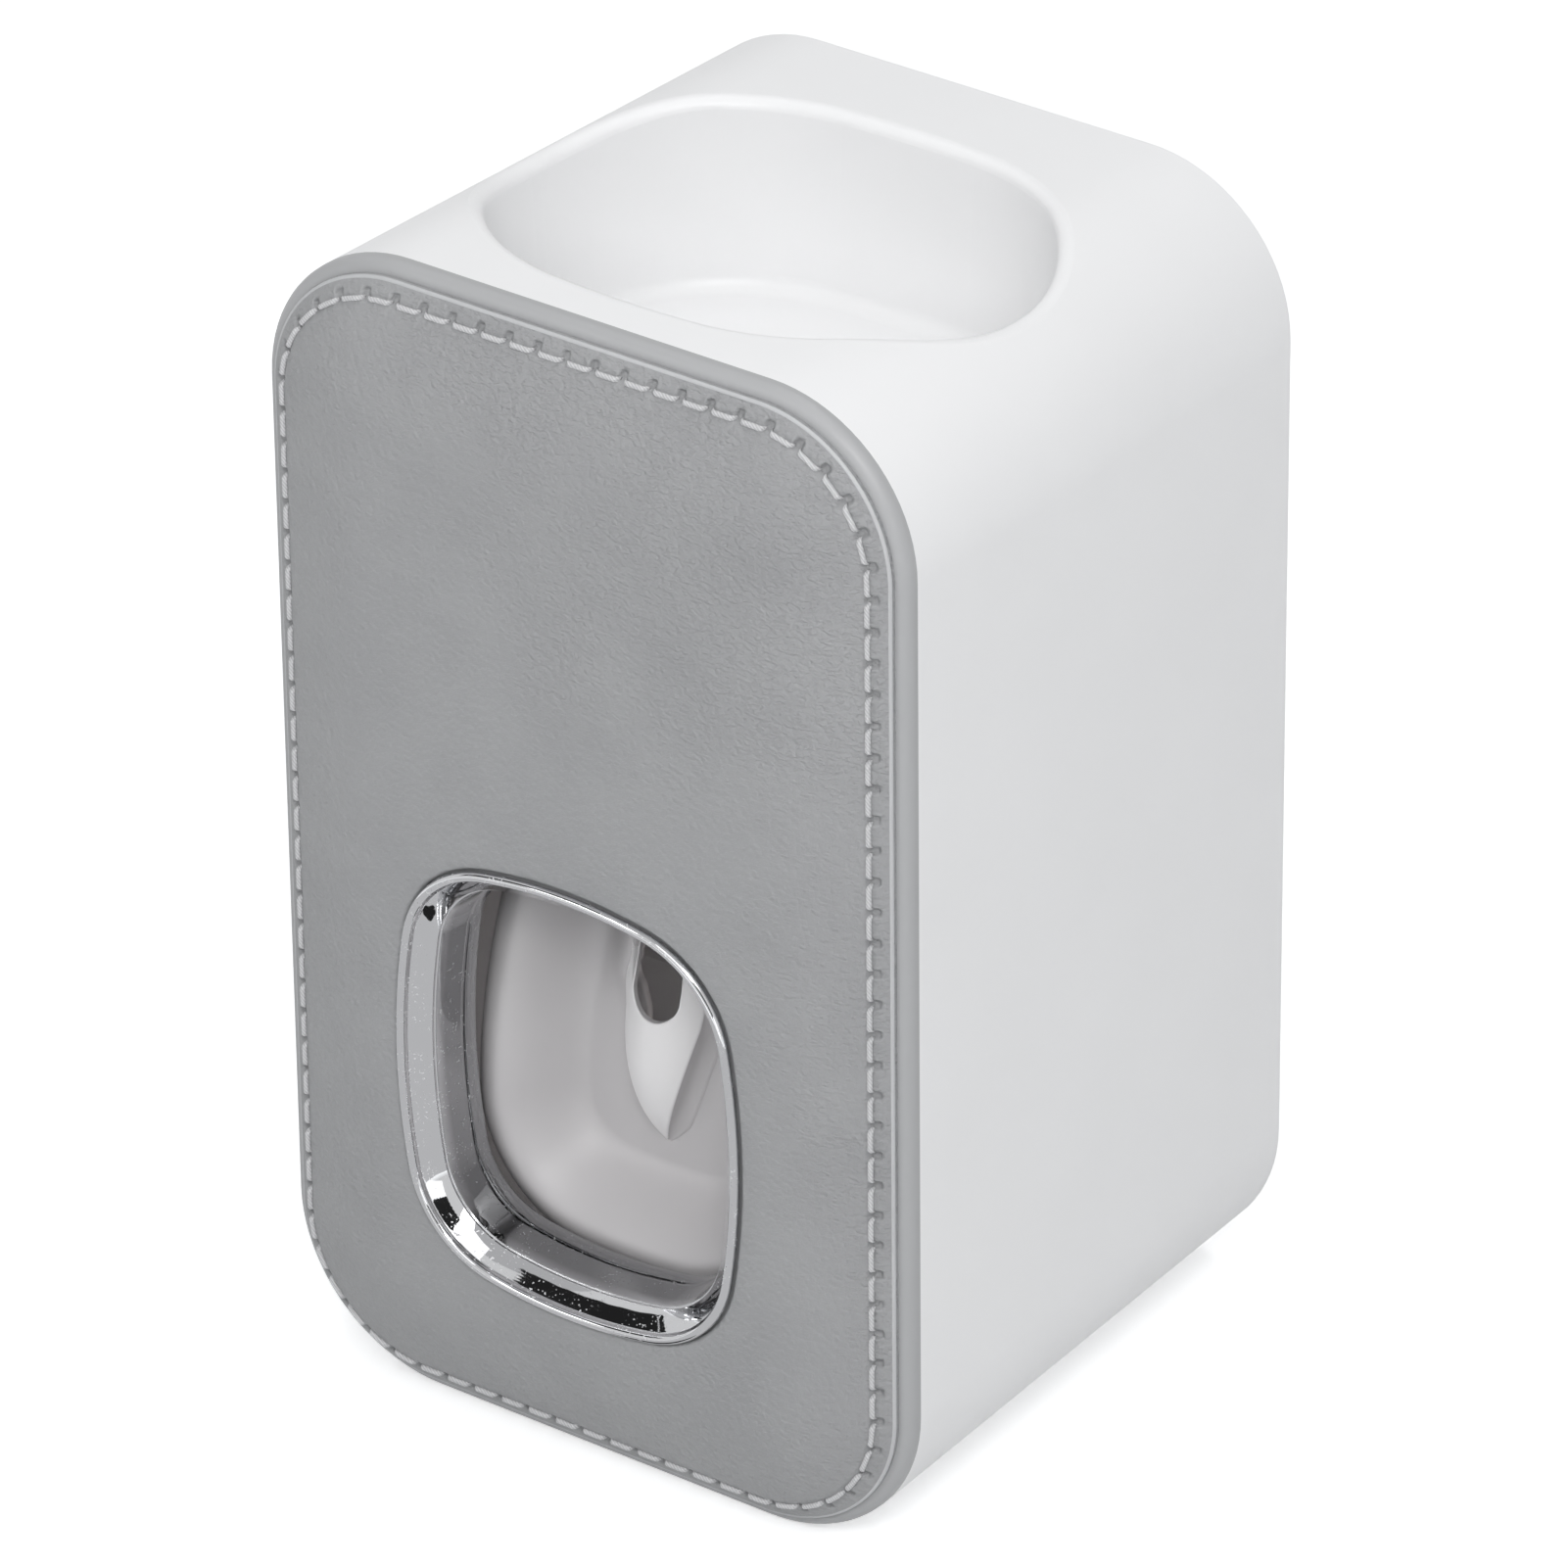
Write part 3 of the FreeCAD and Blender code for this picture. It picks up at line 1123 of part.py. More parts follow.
def make_push_lever():
    outer, hollow = make_dish()
    scoop = outer.cut(hollow)
    scoop = scoop.makeFillet(float(S.lip_round), [edge for edge in scoop.Edges if on_lip(edge)])
    shape = scoop.fuse(make_beak(outer))
    shape = shape.multiFuse([arm_shape(1), arm_shape(-1)])
    shape = shape.cut(make_slot_tool()).removeSplitter()
    lever = doc.addObject("Part::Feature", "lever_form")
    lever.Shape = shape
    return keep(lever, "push_lever")


def make_pivot_pins():
    """Two stub pins, pressed through the cheeks, on which the lever's arms turn."""
    start = S.cheek_x
    length = S.cheek_thick + S.fit_gap + S.arm_thick + S.fit_gap
    pins = [drill("pivot_pin_right", S.pivot_radius, length, start, pivot_y, pivot_z, "side"),
            drill("pivot_pin_left", S.pivot_radius, length, -(start + length), pivot_y, pivot_z, "side")]
    group = doc.addObject("Part::Compound", "pivot_pin_set")
    group.Links = pins
    return keep(group, "pivot_pins")


def make_back_plate():
    body = new_body("back_plate_body")
    face_y = shell_back - S.plate_set_in
    rim = front_sketch(body, "back_plate_outline", face_y)
    shell_outline(rim, 1, S.back_rim_inset + S.fit_gap / 2)
    pad(body, rim, S.plate_border, "back_plate_border")
    pan = front_sketch(body, "pan_outline", face_y)
    rounded_rect(pan, pan_half_width + S.pan_wall, S.pan_low - S.pan_wall, pan_high + S.pan_wall,
                 S.pan_corner + S.pan_wall, S.pan_corner + S.pan_wall)
    pad(body, pan, S.pan_deep + S.pan_floor, "back_plate_pan")
    hollow = front_sketch(body, "pan_hollow_outline", face_y)
    rounded_rect(hollow, pan_half_width, S.pan_low, pan_high, S.pan_corner, S.pan_corner)
    pocket(body, hollow, S.pan_deep, "back_plate_hollow", along_normal=True)
    seats = front_sketch(body, "screw_seat_outlines", face_y)
    for x, z in post_places():
        circle(seats, x, z, S.screw_seat)
    pocket(body, seats, S.screw_seat_deep, "screw_seats", along_normal=True)
    holes = front_sketch(body, "back_plate_holes", face_y)
    for x, z in post_places():
        circle(holes, x, z, S.screw_hole)
    for z in (hook_low_z, hook_high_z):
        keyhole(holes, z)
    pocket(body, holes, S.pan_deep + S.pan_floor + S.overrun, "back_plate_openings", along_normal=True)
    body.Tip = body.Group[-1]
    return keep(body, "back_plate")


def keyhole(sketch, z):
    """A slot for a hook's stem, with a wide entry below it for the hook's head."""
    stem = S.hook_stem + S.keyhole_gap
    wide = S.hook_head_half_width + S.keyhole_gap
    entry_top = z - S.bracket_travel + S.hook_head_half_high + S.keyhole_gap
    entry_low = z - S.bracket_travel - S.hook_head_half_high - S.keyhole_gap
    outline(sketch, [(-wide, entry_low), (wide, entry_low), (wide, entry_top), (stem, entry_top),
                     (stem, z + stem), (-stem, z + stem), (-stem, entry_top), (-wide, entry_top)])


def make_back_plate_screws():
    seat = shell_back - S.plate_set_in - S.screw_seat_deep
    places = [(x, seat, z) for x, z in post_places()]
    return screw_group("back_plate_screws", places, False)


def make_wall_plate():
    body = new_body("wall_plate_body")
    face_y = bracket_front + S.bracket_thick
    sketch = front_sketch(body, "bracket_outline", face_y)
    rounded_rect(sketch, bracket_half_width, bracket_low, bracket_high, S.bracket_corner, S.bracket_corner)
    pad(body, sketch, S.bracket_thick, "bracket_plate")
    stems = front_sketch(body, "hook_stems", bracket_front)
    heads_y = bracket_front - S.pan_floor - S.fit_gap * 2
    heads = front_sketch(body, "hook_heads", heads_y)
    for z in (hook_low_z, hook_high_z):
        outline(stems, [(-S.hook_stem, z - S.hook_stem), (S.hook_stem, z - S.hook_stem),
                        (S.hook_stem, z + S.hook_stem), (-S.hook_stem, z + S.hook_stem)])
        wide, high = S.hook_head_half_width, S.hook_head_half_high
        outline(heads, [(-wide, z - high), (wide, z - high), (wide, z + high), (-wide, z + high)])
    pad(body, stems, S.pan_floor + S.fit_gap * 2 + S.hook_head_thick / 2, "hook_stem_pads")
    pad(body, heads, S.hook_head_thick, "hook_head_pads")
    body.Tip = body.Group[-1]
    return keep(body, "wall_plate")


bracket_front = shell_back - S.plate_set_in - S.pan_deep + S.fit_gap


def make_adhesive_pad():
    body = new_body("adhesive_pad_body")
    sketch = front_sketch(body, "pad_outline", pad_face)
    rounded_rect(sketch, bracket_half_width - S.pad_inset, bracket_low + S.pad_inset,
                 bracket_high - S.pad_inset, S.bracket_corner, S.bracket_corner)
    pad(body, sketch, pad_face - bracket_front - S.bracket_thick, "pad_foam")
    return keep(body, "adhesive_pad")


def check_objects():
    """Stops with a message if any object failed, or a piece is not a valid solid."""
    faults = [obj.Label for obj in doc.Objects if "Invalid" in obj.State or "Error" in obj.State]
    for obj in nodes:
        if obj.Shape.isNull() or not obj.Shape.isValid() or not obj.Shape.Solids:
            faults.append(obj.Label + " shape")
    if faults:
        raise RuntimeError("failed: " + ", ".join(faults))


def write_parts():
    os.makedirs("parts", exist_ok=True)
    for obj in nodes:
        obj.Shape.exportStep("parts/%s.step" % obj.Label)
        box = obj.Shape.BoundBox
        print("%-18s solids %d volume %9.1f  x %6.2f %6.2f  y %6.2f %6.2f  z %6.2f %6.2f" % (
            obj.Label, len(obj.Shape.Solids), obj.Shape.Volume, box.XMin, box.XMax,
            box.YMin, box.YMax, box.ZMin, box.ZMax))


make_shell()
make_front_cover()
make_leather()
make_bezel()
make_tube_seal()
make_pump_body()
make_inlet_valve()
make_cylinder_cap()
make_piston()
make_piston_seal()
make_crosshead()
make_drive_pin()
make_return_spring()
make_nozzle()
make_nozzle_collar()
make_push_lever()
make_pivot_pins()
make_pump_screws()
make_back_plate()
make_back_plate_screws()
make_wall_plate()
make_adhesive_pad()
doc.recompute()
check_objects()
write_parts()
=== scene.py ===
import json
import math
import random

import bpy
from mathutils import Matrix, Vector, geometry, kdtree


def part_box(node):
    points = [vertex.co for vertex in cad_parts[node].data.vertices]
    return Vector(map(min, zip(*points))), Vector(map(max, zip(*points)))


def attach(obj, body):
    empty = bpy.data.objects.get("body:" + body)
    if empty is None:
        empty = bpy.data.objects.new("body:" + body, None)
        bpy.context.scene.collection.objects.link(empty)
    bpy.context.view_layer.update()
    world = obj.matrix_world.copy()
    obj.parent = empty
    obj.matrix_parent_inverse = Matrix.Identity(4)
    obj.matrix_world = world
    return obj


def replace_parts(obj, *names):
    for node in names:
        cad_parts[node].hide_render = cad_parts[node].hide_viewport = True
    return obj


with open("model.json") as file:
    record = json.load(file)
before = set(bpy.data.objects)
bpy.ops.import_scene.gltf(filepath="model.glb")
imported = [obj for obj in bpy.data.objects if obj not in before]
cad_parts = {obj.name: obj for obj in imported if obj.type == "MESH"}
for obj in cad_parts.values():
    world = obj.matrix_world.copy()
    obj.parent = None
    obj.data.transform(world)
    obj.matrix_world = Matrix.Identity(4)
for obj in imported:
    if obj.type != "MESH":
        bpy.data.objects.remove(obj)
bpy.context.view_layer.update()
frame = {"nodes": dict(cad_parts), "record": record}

MM = 0.001
random.seed(7)

# Sizes in millimetres. What the solids already hold is read from their boxes.
SHELL_LOW, SHELL_HIGH = (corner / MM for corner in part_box("shell"))
HALF = SHELL_HIGH.x                      # half width at the front edge
FRONT = SHELL_LOW.y                      # the shell's front edge
TOP = SHELL_HIGH.z
RADIUS_TOP, RADIUS_LOW = 14.5, 15.2      # corner radii of the case from the front

# Padded front: insets from the case's outline, heights before the shell's front edge
COVER_PLATE = 1.5
BAND_INSET, BAND_EDGE, BAND_ROUND = 1.2, 0.6, 0.24   # the leather's edge: inset, height, rounding
SEAM_INSET, SEAM_HEIGHT = 2.86, 3.05
CROWN_INSET, CROWN_HEIGHT, CROWN_POWER = 13.5, 5.25, 1.9
HEM_GAP, HEM_ROUND, HEM_FOOT = 0.10, 0.45, 1.5       # the leather's inner edge, next to the chrome frame
GRID_STEP = 1.6                                      # between the points of the nearly flat middle

STITCH_PITCH, STITCH_SHARE = 2.95, 0.80
STITCH_COLUMNS = 24                      # mesh columns along each stitch
STITCH_STATIONS, THREAD_SIDES = 15, 10
THREAD_RADIUS, THREAD_SINK = 0.22, 0.46
SEAM_REACH, GROOVE_DEPTH, GROOVE_HALF = 1.1, 0.12, 0.34   # where the thread draws the leather in
HOLE_DEPTH, HOLE_ALONG, HOLE_ACROSS, HOLE_SHIFT = 0.62, 0.40, 0.47, 0.24
RIM_RISE, RIM_AT, RIM_ALONG, RIM_ACROSS, RIM_SHIFT = 0.06, 0.58, 0.13, 0.25, 0.15   # of a needle hole

BEZEL_LOW, BEZEL_HIGH = (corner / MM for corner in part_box("chrome_bezel"))
WINDOW_X = BEZEL_HIGH.x
WINDOW_Z = (BEZEL_HIGH.z - BEZEL_LOW.z) / 2
WINDOW_MID = (BEZEL_HIGH.z + BEZEL_LOW.z) / 2
WINDOW_END_BOW, WINDOW_SIDE_BOW, WINDOW_CORNER = 45.0, 70.0, 10.8
BEZEL_REACH, BEZEL_BEAD = FRONT - BEZEL_LOW.y, 0.45
# The frame's section behind the bead, as inset from its outline and height before the shell's front edge
BEZEL_STEP = [(2.46, 3.62), (2.49, 3.52), (2.49, 3.42), (2.53, 3.38), (2.58, 3.40),
              (2.62, 3.36), (2.64, 3.28)]
BEZEL_THROAT = [(2.76, 2.4), (2.90, 1.4), (3.05, 0.45), (3.10, 0.15), (3.19, 0.02), (3.24, -0.12)]
BEZEL_BACK = [(3.25, -0.6), (3.25, -1.45), (3.18, -1.55), (3.05, -1.6), (2.4, -1.6)]

# Push lever: half widths, heights from the base and depths behind the shell's front edge
LEVER_HALF, LEVER_FOOT, LEVER_HEAD = 17.2, 15.5, 57.4
LEVER_CORNER, LEVER_BOW = 13.4, 62.9
LIP_ROLL, LIP_DEPTH, LIP_BOW = 2.8, 3.0, 46.0
LIP_BEND, LIP_LEAN = 28.0, 46.0
WALL_RUN, LEVER_WALL = 6.0, 1.5
BACK_DEPTH, BACK_BEND, BACK_SLOPE = 9.2, 34.0, 0.29
BEAK_TIP, BEAK_WIDE, BEAK_HALF, BEAK_SIDE_BOW = 26.6, 38.0, 3.74, 46.0
BEAK_DEPTH, BEAK_BOW, BEAK_MID, BEAK_CROWN = 6.1, 14.3, 35.0, 1.6
BEAK_RUNS = ((39.0, 6.67, 0.061), (46.0, 7.1, 0.377))   # its straight runs: height, depth and slope
BEAK_SHUT_AT, BEAK_SHUT_RUN, BEAK_RIM = 2.5, 5.0, 0.3    # where it closes in on the slot
BEAK_FOOT, BEAK_EDGE = 1.3, 0.14         # roundings at its foot and at its face
RIDGE_LOW, RIDGE_HIGH = 37.0, 42.5       # between them the back wall comes forward to the beak's face
SLOT_HALF, SLOT_LOW, SLOT_WALL = 2.45, 39.4, 0.6
PIVOT = Vector((12.375, 62.0))
FORK = Vector((23.575, 49.2))
FORK_HALF, FORK_ROUND, FORK_GAP = 2.0, 4.0, 1.75
ARM_ROUND, ARM_INNER, ARM_OUTER, ARM_EYE = 3.4, 10.9, 13.3, 1.55
WEB_END, WEB_ROUND = (14.2, 50.0), 1.5   # lower end of the plate that joins the arm and the dish

# Studio, in metres and watts
CAMERA_PLACE = (0.502745, -0.683893, 0.543090)
CAMERA_TURN = (36.282, 90 - 29.943, -0.6095)         # about Z, X and the view line, in degrees
CAMERA_LENS, CAMERA_SENSOR = 261.65, 36
WORLD_LEVEL, FLOOR_GLOW = 0.39, 0.45
MIDDLE = (0, 0, 0.055)
LAMPS = {"key": ((0.40, -0.36, 0.60), 0.3, 1.15), "top": ((0.0, 0.15, 0.95), 0.6, 2.4),
         "front": ((-0.40, -0.66, 0.50), 0.25, 0.8), "near": ((0.17, -0.27, 0.27), 0.10, 0.38)}
WHITE_CARD, DARK_CARD = 1.7, 0.02


# Mesh helpers

def make_mesh(name, verts, faces, material, smooth=True):
    """A mesh object from points in millimetres."""
    mesh = bpy.data.meshes.new(name)
    mesh.from_pydata([(x * MM, y * MM, z * MM) for x, y, z in verts], [], faces)
    mesh.validate()
    if smooth:
        mesh.shade_smooth()
    mesh.materials.append(material)
    piece = bpy.data.objects.new(name, mesh)
    bpy.context.scene.collection.objects.link(piece)
    return piece


def band_faces(first, second, count, closed=True):
    """Quads between two rings whose points start at these indices."""
    faces = []
    for i in range(count if closed else count - 1):
        j = (i + 1) % count
        faces.append((first + i, first + j, second + j, second + i))
    return faces


def lofted(rings, closed=True):
    """Points and quads through a list of rings of equal length."""
    count = len(rings[0])
    verts = [point for ring in rings for point in ring]
    faces = []
    for k in range(len(rings) - 1):
        faces += band_faces(k * count, (k + 1) * count, count, closed)
    return verts, faces


def inside(point, loop):
    """Whether a point lies inside a closed loop."""
    found = False
    for a, b in zip(loop, loop[1:] + loop[:1]):
        if (a[1] > point[1]) != (b[1] > point[1]):
            if point[0] < (b[0] - a[0]) * (point[1] - a[1]) / (b[1] - a[1]) + a[0]:
                found = not found
    return found


def triangulated(outer, holes=(), step=0.0):
    """Counter-clockwise triangles that fill a loop around its holes, with a grid of points between them."""
    points, edges = [], []
    for loop in (outer, *holes):
        base = len(points)
        points += [Vector(point[:2]) for point in loop]
        edges += [(base + i, base + (i + 1) % len(loop)) for i in range(len(loop))]
    if step:
        near = kdtree.KDTree(len(points))
        for i, point in enumerate(points):
            near.insert((point.x, point.y, 0), i)
        near.balance()
        low = [min(point[k] for point in outer) for k in (0, 1)]
        high = [max(point[k] for point in outer) for k in (0, 1)]
        for row in range(int((high[1] - low[1]) / step)):
            for column in range(int((high[0] - low[0]) / step)):
                spot = (low[0] + step * (column + 0.5), low[1] + step * (row + 0.5))
                if near.find((*spot, 0))[2] > step / 2 and inside(spot, outer):
                    if not any(inside(spot, hole) for hole in holes):
                        points.append(Vector(spot))
    made, _, cells, _, _, _ = geometry.delaunay_2d_cdt(points, edges, [], 1, 1e-5)
    faces = []
    for cell in cells:
        a, b, c = (made[i] for i in cell)
        centre = (a + b + c) / 3
        if not inside(centre, outer) or any(inside(centre, hole) for hole in holes):
            continue
        turn = (b.x - a.x) * (c.y - a.y) - (c.x - a.x) * (b.y - a.y)
        faces.append(tuple(cell) if turn > 0 else tuple(cell[::-1]))
    return made, faces


def arc(centre, radius, start, end, steps):
    """Points on an arc in a section plane, angles in degrees."""
    out = []
    for k in range(steps + 1):
        angle = math.radians(start + (end - start) * k / steps)
        out.append((centre[0] + radius * math.cos(angle), centre[1] + radius * math.sin(angle)))
    return out


# Outlines seen from the front: each point is (x, z, outward normal x, outward normal z)

def case_outline(inset, spacing):
    """The case's rounded outline at an inset, in even steps along its length."""
    half, low, high = HALF - inset, inset, TOP - inset
    top_r, low_r = RADIUS_TOP - inset, RADIUS_LOW - inset
    runs = [("line", (half, low + low_r), (half, high - top_r), (1, 0)),
            ("arc", (half - top_r, high - top_r), top_r, 0),
            ("line", (half - top_r, high), (top_r - half, high), (0, 1)),
            ("arc", (top_r - half, high - top_r), top_r, 90),
            ("line", (-half, high - top_r), (-half, low + low_r), (-1, 0)),
            ("arc", (low_r - half, low + low_r), low_r, 180),
            ("line", (low_r - half, low), (half - low_r, low), (0, -1)),
            ("arc", (half - low_r, low + low_r), low_r, 270)]
    lengths = [math.dist(run[1], run[2]) if run[0] == "line" else run[2] * math.pi / 2 for run in runs]
    whole = sum(lengths)
    count = round(whole / spacing)
    points, k, before = [], 0, 0.0
    for i in range(count):
        s = whole * i / count
        while s > before + lengths[k]:
            before += lengths[k]
            k += 1
        share = (s - before) / lengths[k]
        run = runs[k]
        if run[0] == "line":
            a, b, n = run[1:]
            points.append((a[0] + (b[0] - a[0]) * share, a[1] + (b[1] - a[1]) * share, n[0], n[1]))
        else:
            angle = math.radians(run[3] + 90 * share)
            n = (math.cos(angle), math.sin(angle))
            points.append((run[1][0] + run[2] * n[0], run[1][1] + run[2] * n[1], n[0], n[1]))
    return points, whole


def window_outline(steps):
    """The window's outline round the origin: a rounded rectangle with bowed sides, of tangent arcs."""
    half_x, half_z, corner = WINDOW_X, WINDOW_Z, WINDOW_CORNER
    end_bow, side_bow = WINDOW_END_BOW, WINDOW_SIDE_BOW
    x, z = half_x - corner, half_z - corner
    for _ in range(40):
        a = math.hypot(x - (half_x - side_bow), z)
        b = math.hypot(x, z - (half_z - end_bow))
        fa, fb = a - (side_bow - corner), b - (end_bow - corner)
        m00, m01 = (x - half_x + side_bow) / a, z / a
        m10, m11 = x / b, (z - half_z + end_bow) / b
        det = m00 * m11 - m01 * m10
        x -= (fa * m11 - fb * m01) / det
        z -= (fb * m00 - fa * m10) / det
    side = math.atan2(z, x - half_x + side_bow)
    end = math.atan2(z - half_z + end_bow, x)
    quarter = []
    for k in range(steps):
        t = side * k / steps
        quarter.append((half_x - side_bow + side_bow * math.cos(t), side_bow * math.sin(t), t))
    for k in range(steps):
        t = side + (end - side) * k / steps
        quarter.append((x + corner * math.cos(t), z + corner * math.sin(t), t))
    for k in range(steps + 1):
        t = end + (math.pi / 2 - end) * k / steps
        quarter.append((end_bow * math.cos(t), half_z - end_bow + end_bow * math.sin(t), t))
    upper = quarter + [(-px, pz, math.pi - t) for px, pz, t in quarter[-2::-1]]
    whole = upper + [(-px, -pz, t + math.pi) for px, pz, t in upper[1:-1]]
    return [(px, pz, math.cos(t), math.sin(t)) for px, pz, t in whole]


def window_ring(outline, inset, height):
    """One ring round the window: its outline moved inwards, at a height before the shell's front edge."""
    return [(x - nx * inset, FRONT - height, z + WINDOW_MID - nz * inset) for x, z, nx, nz in outline]


# Materials

def new_material(name, colour, roughness, metallic=0.0):
    """A material with its node tree and its shader."""
    material = bpy.data.materials.new(name)
    material.use_nodes = True
    shader = material.node_tree.nodes["Principled BSDF"]
    shader.inputs["Base Color"].default_value = (*colour, 1)
    shader.inputs["Roughness"].default_value = roughness
    shader.inputs["Metallic"].default_value = metallic
    return material, material.node_tree, shader


def millimetres(tree, scale=(1, 1, 1)):
    """Object coordinates in millimetres, stretched by a scale."""
    coords = tree.nodes.new("ShaderNodeTexCoord")
    mapping = tree.nodes.new("ShaderNodeMapping")
    mapping.inputs["Scale"].default_value = [s / MM for s in scale]
    tree.links.new(coords.outputs["Object"], mapping.inputs["Vector"])
    return mapping.outputs["Vector"]


def split(tree, vector):
    """A vector's X, Y and Z."""
    node = tree.nodes.new("ShaderNodeSeparateXYZ")
    tree.links.new(vector, node.inputs[0])
    return tuple(node.outputs)


def noise(tree, vector, scale, detail=3.0, roughness=0.5):
    """A noise value between 0 and 1."""
    node = tree.nodes.new("ShaderNodeTexNoise")
    node.inputs["Scale"].default_value = scale
    node.inputs["Detail"].default_value = detail
    node.inputs["Roughness"].default_value = roughness
    tree.links.new(vector, node.inputs["Vector"])
    return node.outputs["Fac"]


def ramp(tree, value, low, high, low_at=0.3, high_at=0.7):
    """A value or a colour that follows another value between two stops."""
    node = tree.nodes.new("ShaderNodeValToRGB")
    for element, stop, place in zip(node.color_ramp.elements, (low, high), (low_at, high_at)):
        element.position = place
        element.color = (*stop, 1) if isinstance(stop, tuple) else (stop, stop, stop, 1)
    tree.links.new(value, node.inputs["Fac"])
    return node.outputs["Color"]


def calc(tree, kind, first, second):
    """A sum, product or the like of two values or sockets."""
    node = tree.nodes.new("ShaderNodeMath")
    node.operation = kind
    for socket, value in zip(node.inputs, (first, second)):
        if isinstance(value, (int, float)):
            socket.default_value = value
        else:
            tree.links.new(value, socket)
    return node.outputs[0]


def bump(tree, shader, height, strength, distance):
    """Relief from a height value, with its depth in millimetres."""
    node = tree.nodes.new("ShaderNodeBump")
    node.inputs["Strength"].default_value = strength
    node.inputs["Distance"].default_value = distance * MM
    tree.links.new(height, node.inputs["Height"])
    tree.links.new(node.outputs["Normal"], shader.inputs["Normal"])


def moulded_plastic(name, colour, roughness, grain=0.35, depth=0.012, shade=0.985):
    """Moulded plastic: fine spark-eroded texture, faint flow marks and a slightly uneven gloss."""
    material, tree, shader = new_material(name, colour, roughness)
    vector = millimetres(tree)
    flow = noise(tree, vector, 0.06, 2.0)
    tree.links.new(ramp(tree, flow, tuple(c * shade for c in colour), colour), shader.inputs["Base Color"])
    gloss = noise(tree, vector, 0.5, 3.0)
    tree.links.new(ramp(tree, gloss, roughness - 0.03, roughness + 0.04), shader.inputs["Roughness"])
    bump(tree, shader, noise(tree, vector, 1 / grain, 2.0), 0.35, depth)
    return material


def leather_material():
    """Grey leatherette: pebble grain, drawn-out wrinkles that come and go, and a soft sheen."""
    dark, light = (0.318, 0.321, 0.328), (0.352, 0.355, 0.361)
    material, tree, shader = new_material("grey_leather", light, 0.5)
    shader.inputs["Specular IOR Level"].default_value = 0.42
    vector = millimetres(tree)
    mottle = noise(tree, vector, 0.09, 5.0, 0.6)
    tree.links.new(ramp(tree, mottle, dark, light, 0.3, 0.7), shader.inputs["Base Color"])
    cells = tree.nodes.new("ShaderNodeTexVoronoi")
    cells.feature = "SMOOTH_F1"
    cells.inputs["Scale"].default_value = 1.7
    cells.inputs["Smoothness"].default_value = 0.35
    tree.links.new(vector, cells.inputs["Vector"])
    fine = noise(tree, vector, 4.2, 3.0, 0.6)
    drawn = noise(tree, millimetres(tree, (0.6, 1, 1.4)), 1.9, 3.0, 0.55)
    folds = ramp(tree, drawn, 0.0, 1.0, 0.47, 0.56)
    x, _, z = split(tree, vector)
    lean = calc(tree, "ADD", calc(tree, "MULTIPLY", x, 0.005), calc(tree, "MULTIPLY", z, 0.003))
    where = ramp(tree, calc(tree, "ADD", noise(tree, vector, 0.055, 2.0), lean), 0.12, 1.0, 0.62, 0.86)
    height = calc(tree, "MULTIPLY", cells.outputs["Distance"], -0.55)
    height = calc(tree, "ADD", height, calc(tree, "MULTIPLY", fine, 0.5))
    height = calc(tree, "ADD", height, calc(tree, "MULTIPLY", calc(tree, "MULTIPLY", folds, where), 0.30))
    bump(tree, shader, height, 0.9, 0.19)
    tree.links.new(ramp(tree, fine, 0.38, 0.58, 0.3, 0.7), shader.inputs["Roughness"])
    return material


def thread_material():
    """Light grey twisted thread."""
    material, tree, shader = new_material("seam_thread", (0.55, 0.55, 0.56), 0.6)
    shader.inputs["Sheen Weight"].default_value = 0.25
    vector = millimetres(tree)
    twist = tree.nodes.new("ShaderNodeTexWave")
    twist.bands_direction = "DIAGONAL"
    twist.inputs["Scale"].default_value = 1.6
    twist.inputs["Distortion"].default_value = 1.2
    tree.links.new(vector, twist.inputs["Vector"])
    bump(tree, shader, twist.outputs["Fac"], 0.6, 0.05)
    tree.links.new(ramp(tree, twist.outputs["Fac"], (0.48, 0.48, 0.49), (0.62, 0.62, 0.63), 0.2, 0.8),
                   shader.inputs["Base Color"])
    return material


def chrome_material():
    """Bright plating with faint waves and specks of dust in loose drifts; its colour is darkened deep in the
    throat, most of all low down, as painted shade.
    """
    colour = (0.68, 0.685, 0.70)
    material, tree, shader = new_material("chrome_plating", colour, 0.04, 1.0)
    vector = millimetres(tree)
    bump(tree, shader, noise(tree, vector, 0.35, 2.0), 0.25, 0.03)
    specks = ramp(tree, noise(tree, vector, 4.0, 1.0), 0.0, 1.0, 0.64, 0.70)
    drifts = ramp(tree, noise(tree, vector, 0.35, 2.0), 0.0, 1.0, 0.44, 0.56)
    dust = calc(tree, "MULTIPLY", specks, drifts)
    tree.links.new(ramp(tree, dust, 0.04, 0.5, 0.0, 1.0), shader.inputs["Roughness"])
    tree.links.new(ramp(tree, dust, 1.0, 0.2, 0.0, 1.0), shader.inputs["Metallic"])
    # Painted shade: the throat's colour goes darker towards the back and lower down, for the shade that falls
    # there.
    _, y, z = split(tree, vector)
    throat_painted_shade = ramp(tree, calc(tree, "SUBTRACT", y, FRONT - 3.2), 1.0, 0.62, 0.1, 1.0)
    low = ramp(tree, calc(tree, "MULTIPLY", z, 0.02), 0.72, 1.0, 0.4, 0.62)
    behind = ramp(tree, calc(tree, "SUBTRACT", y, FRONT - 3.4), 0.0, 1.0, 0.1, 0.3)
    painted_shade_loss = calc(tree, "SUBTRACT", 1.0, calc(tree, "MULTIPLY", throat_painted_shade, low))
    shade = calc(tree, "SUBTRACT", 1.0, calc(tree, "MULTIPLY", behind, painted_shade_loss))
    tree.links.new(ramp(tree, shade, (0.0, 0.0, 0.0), colour, 0.0, 1.0), shader.inputs["Base Color"])
    return material


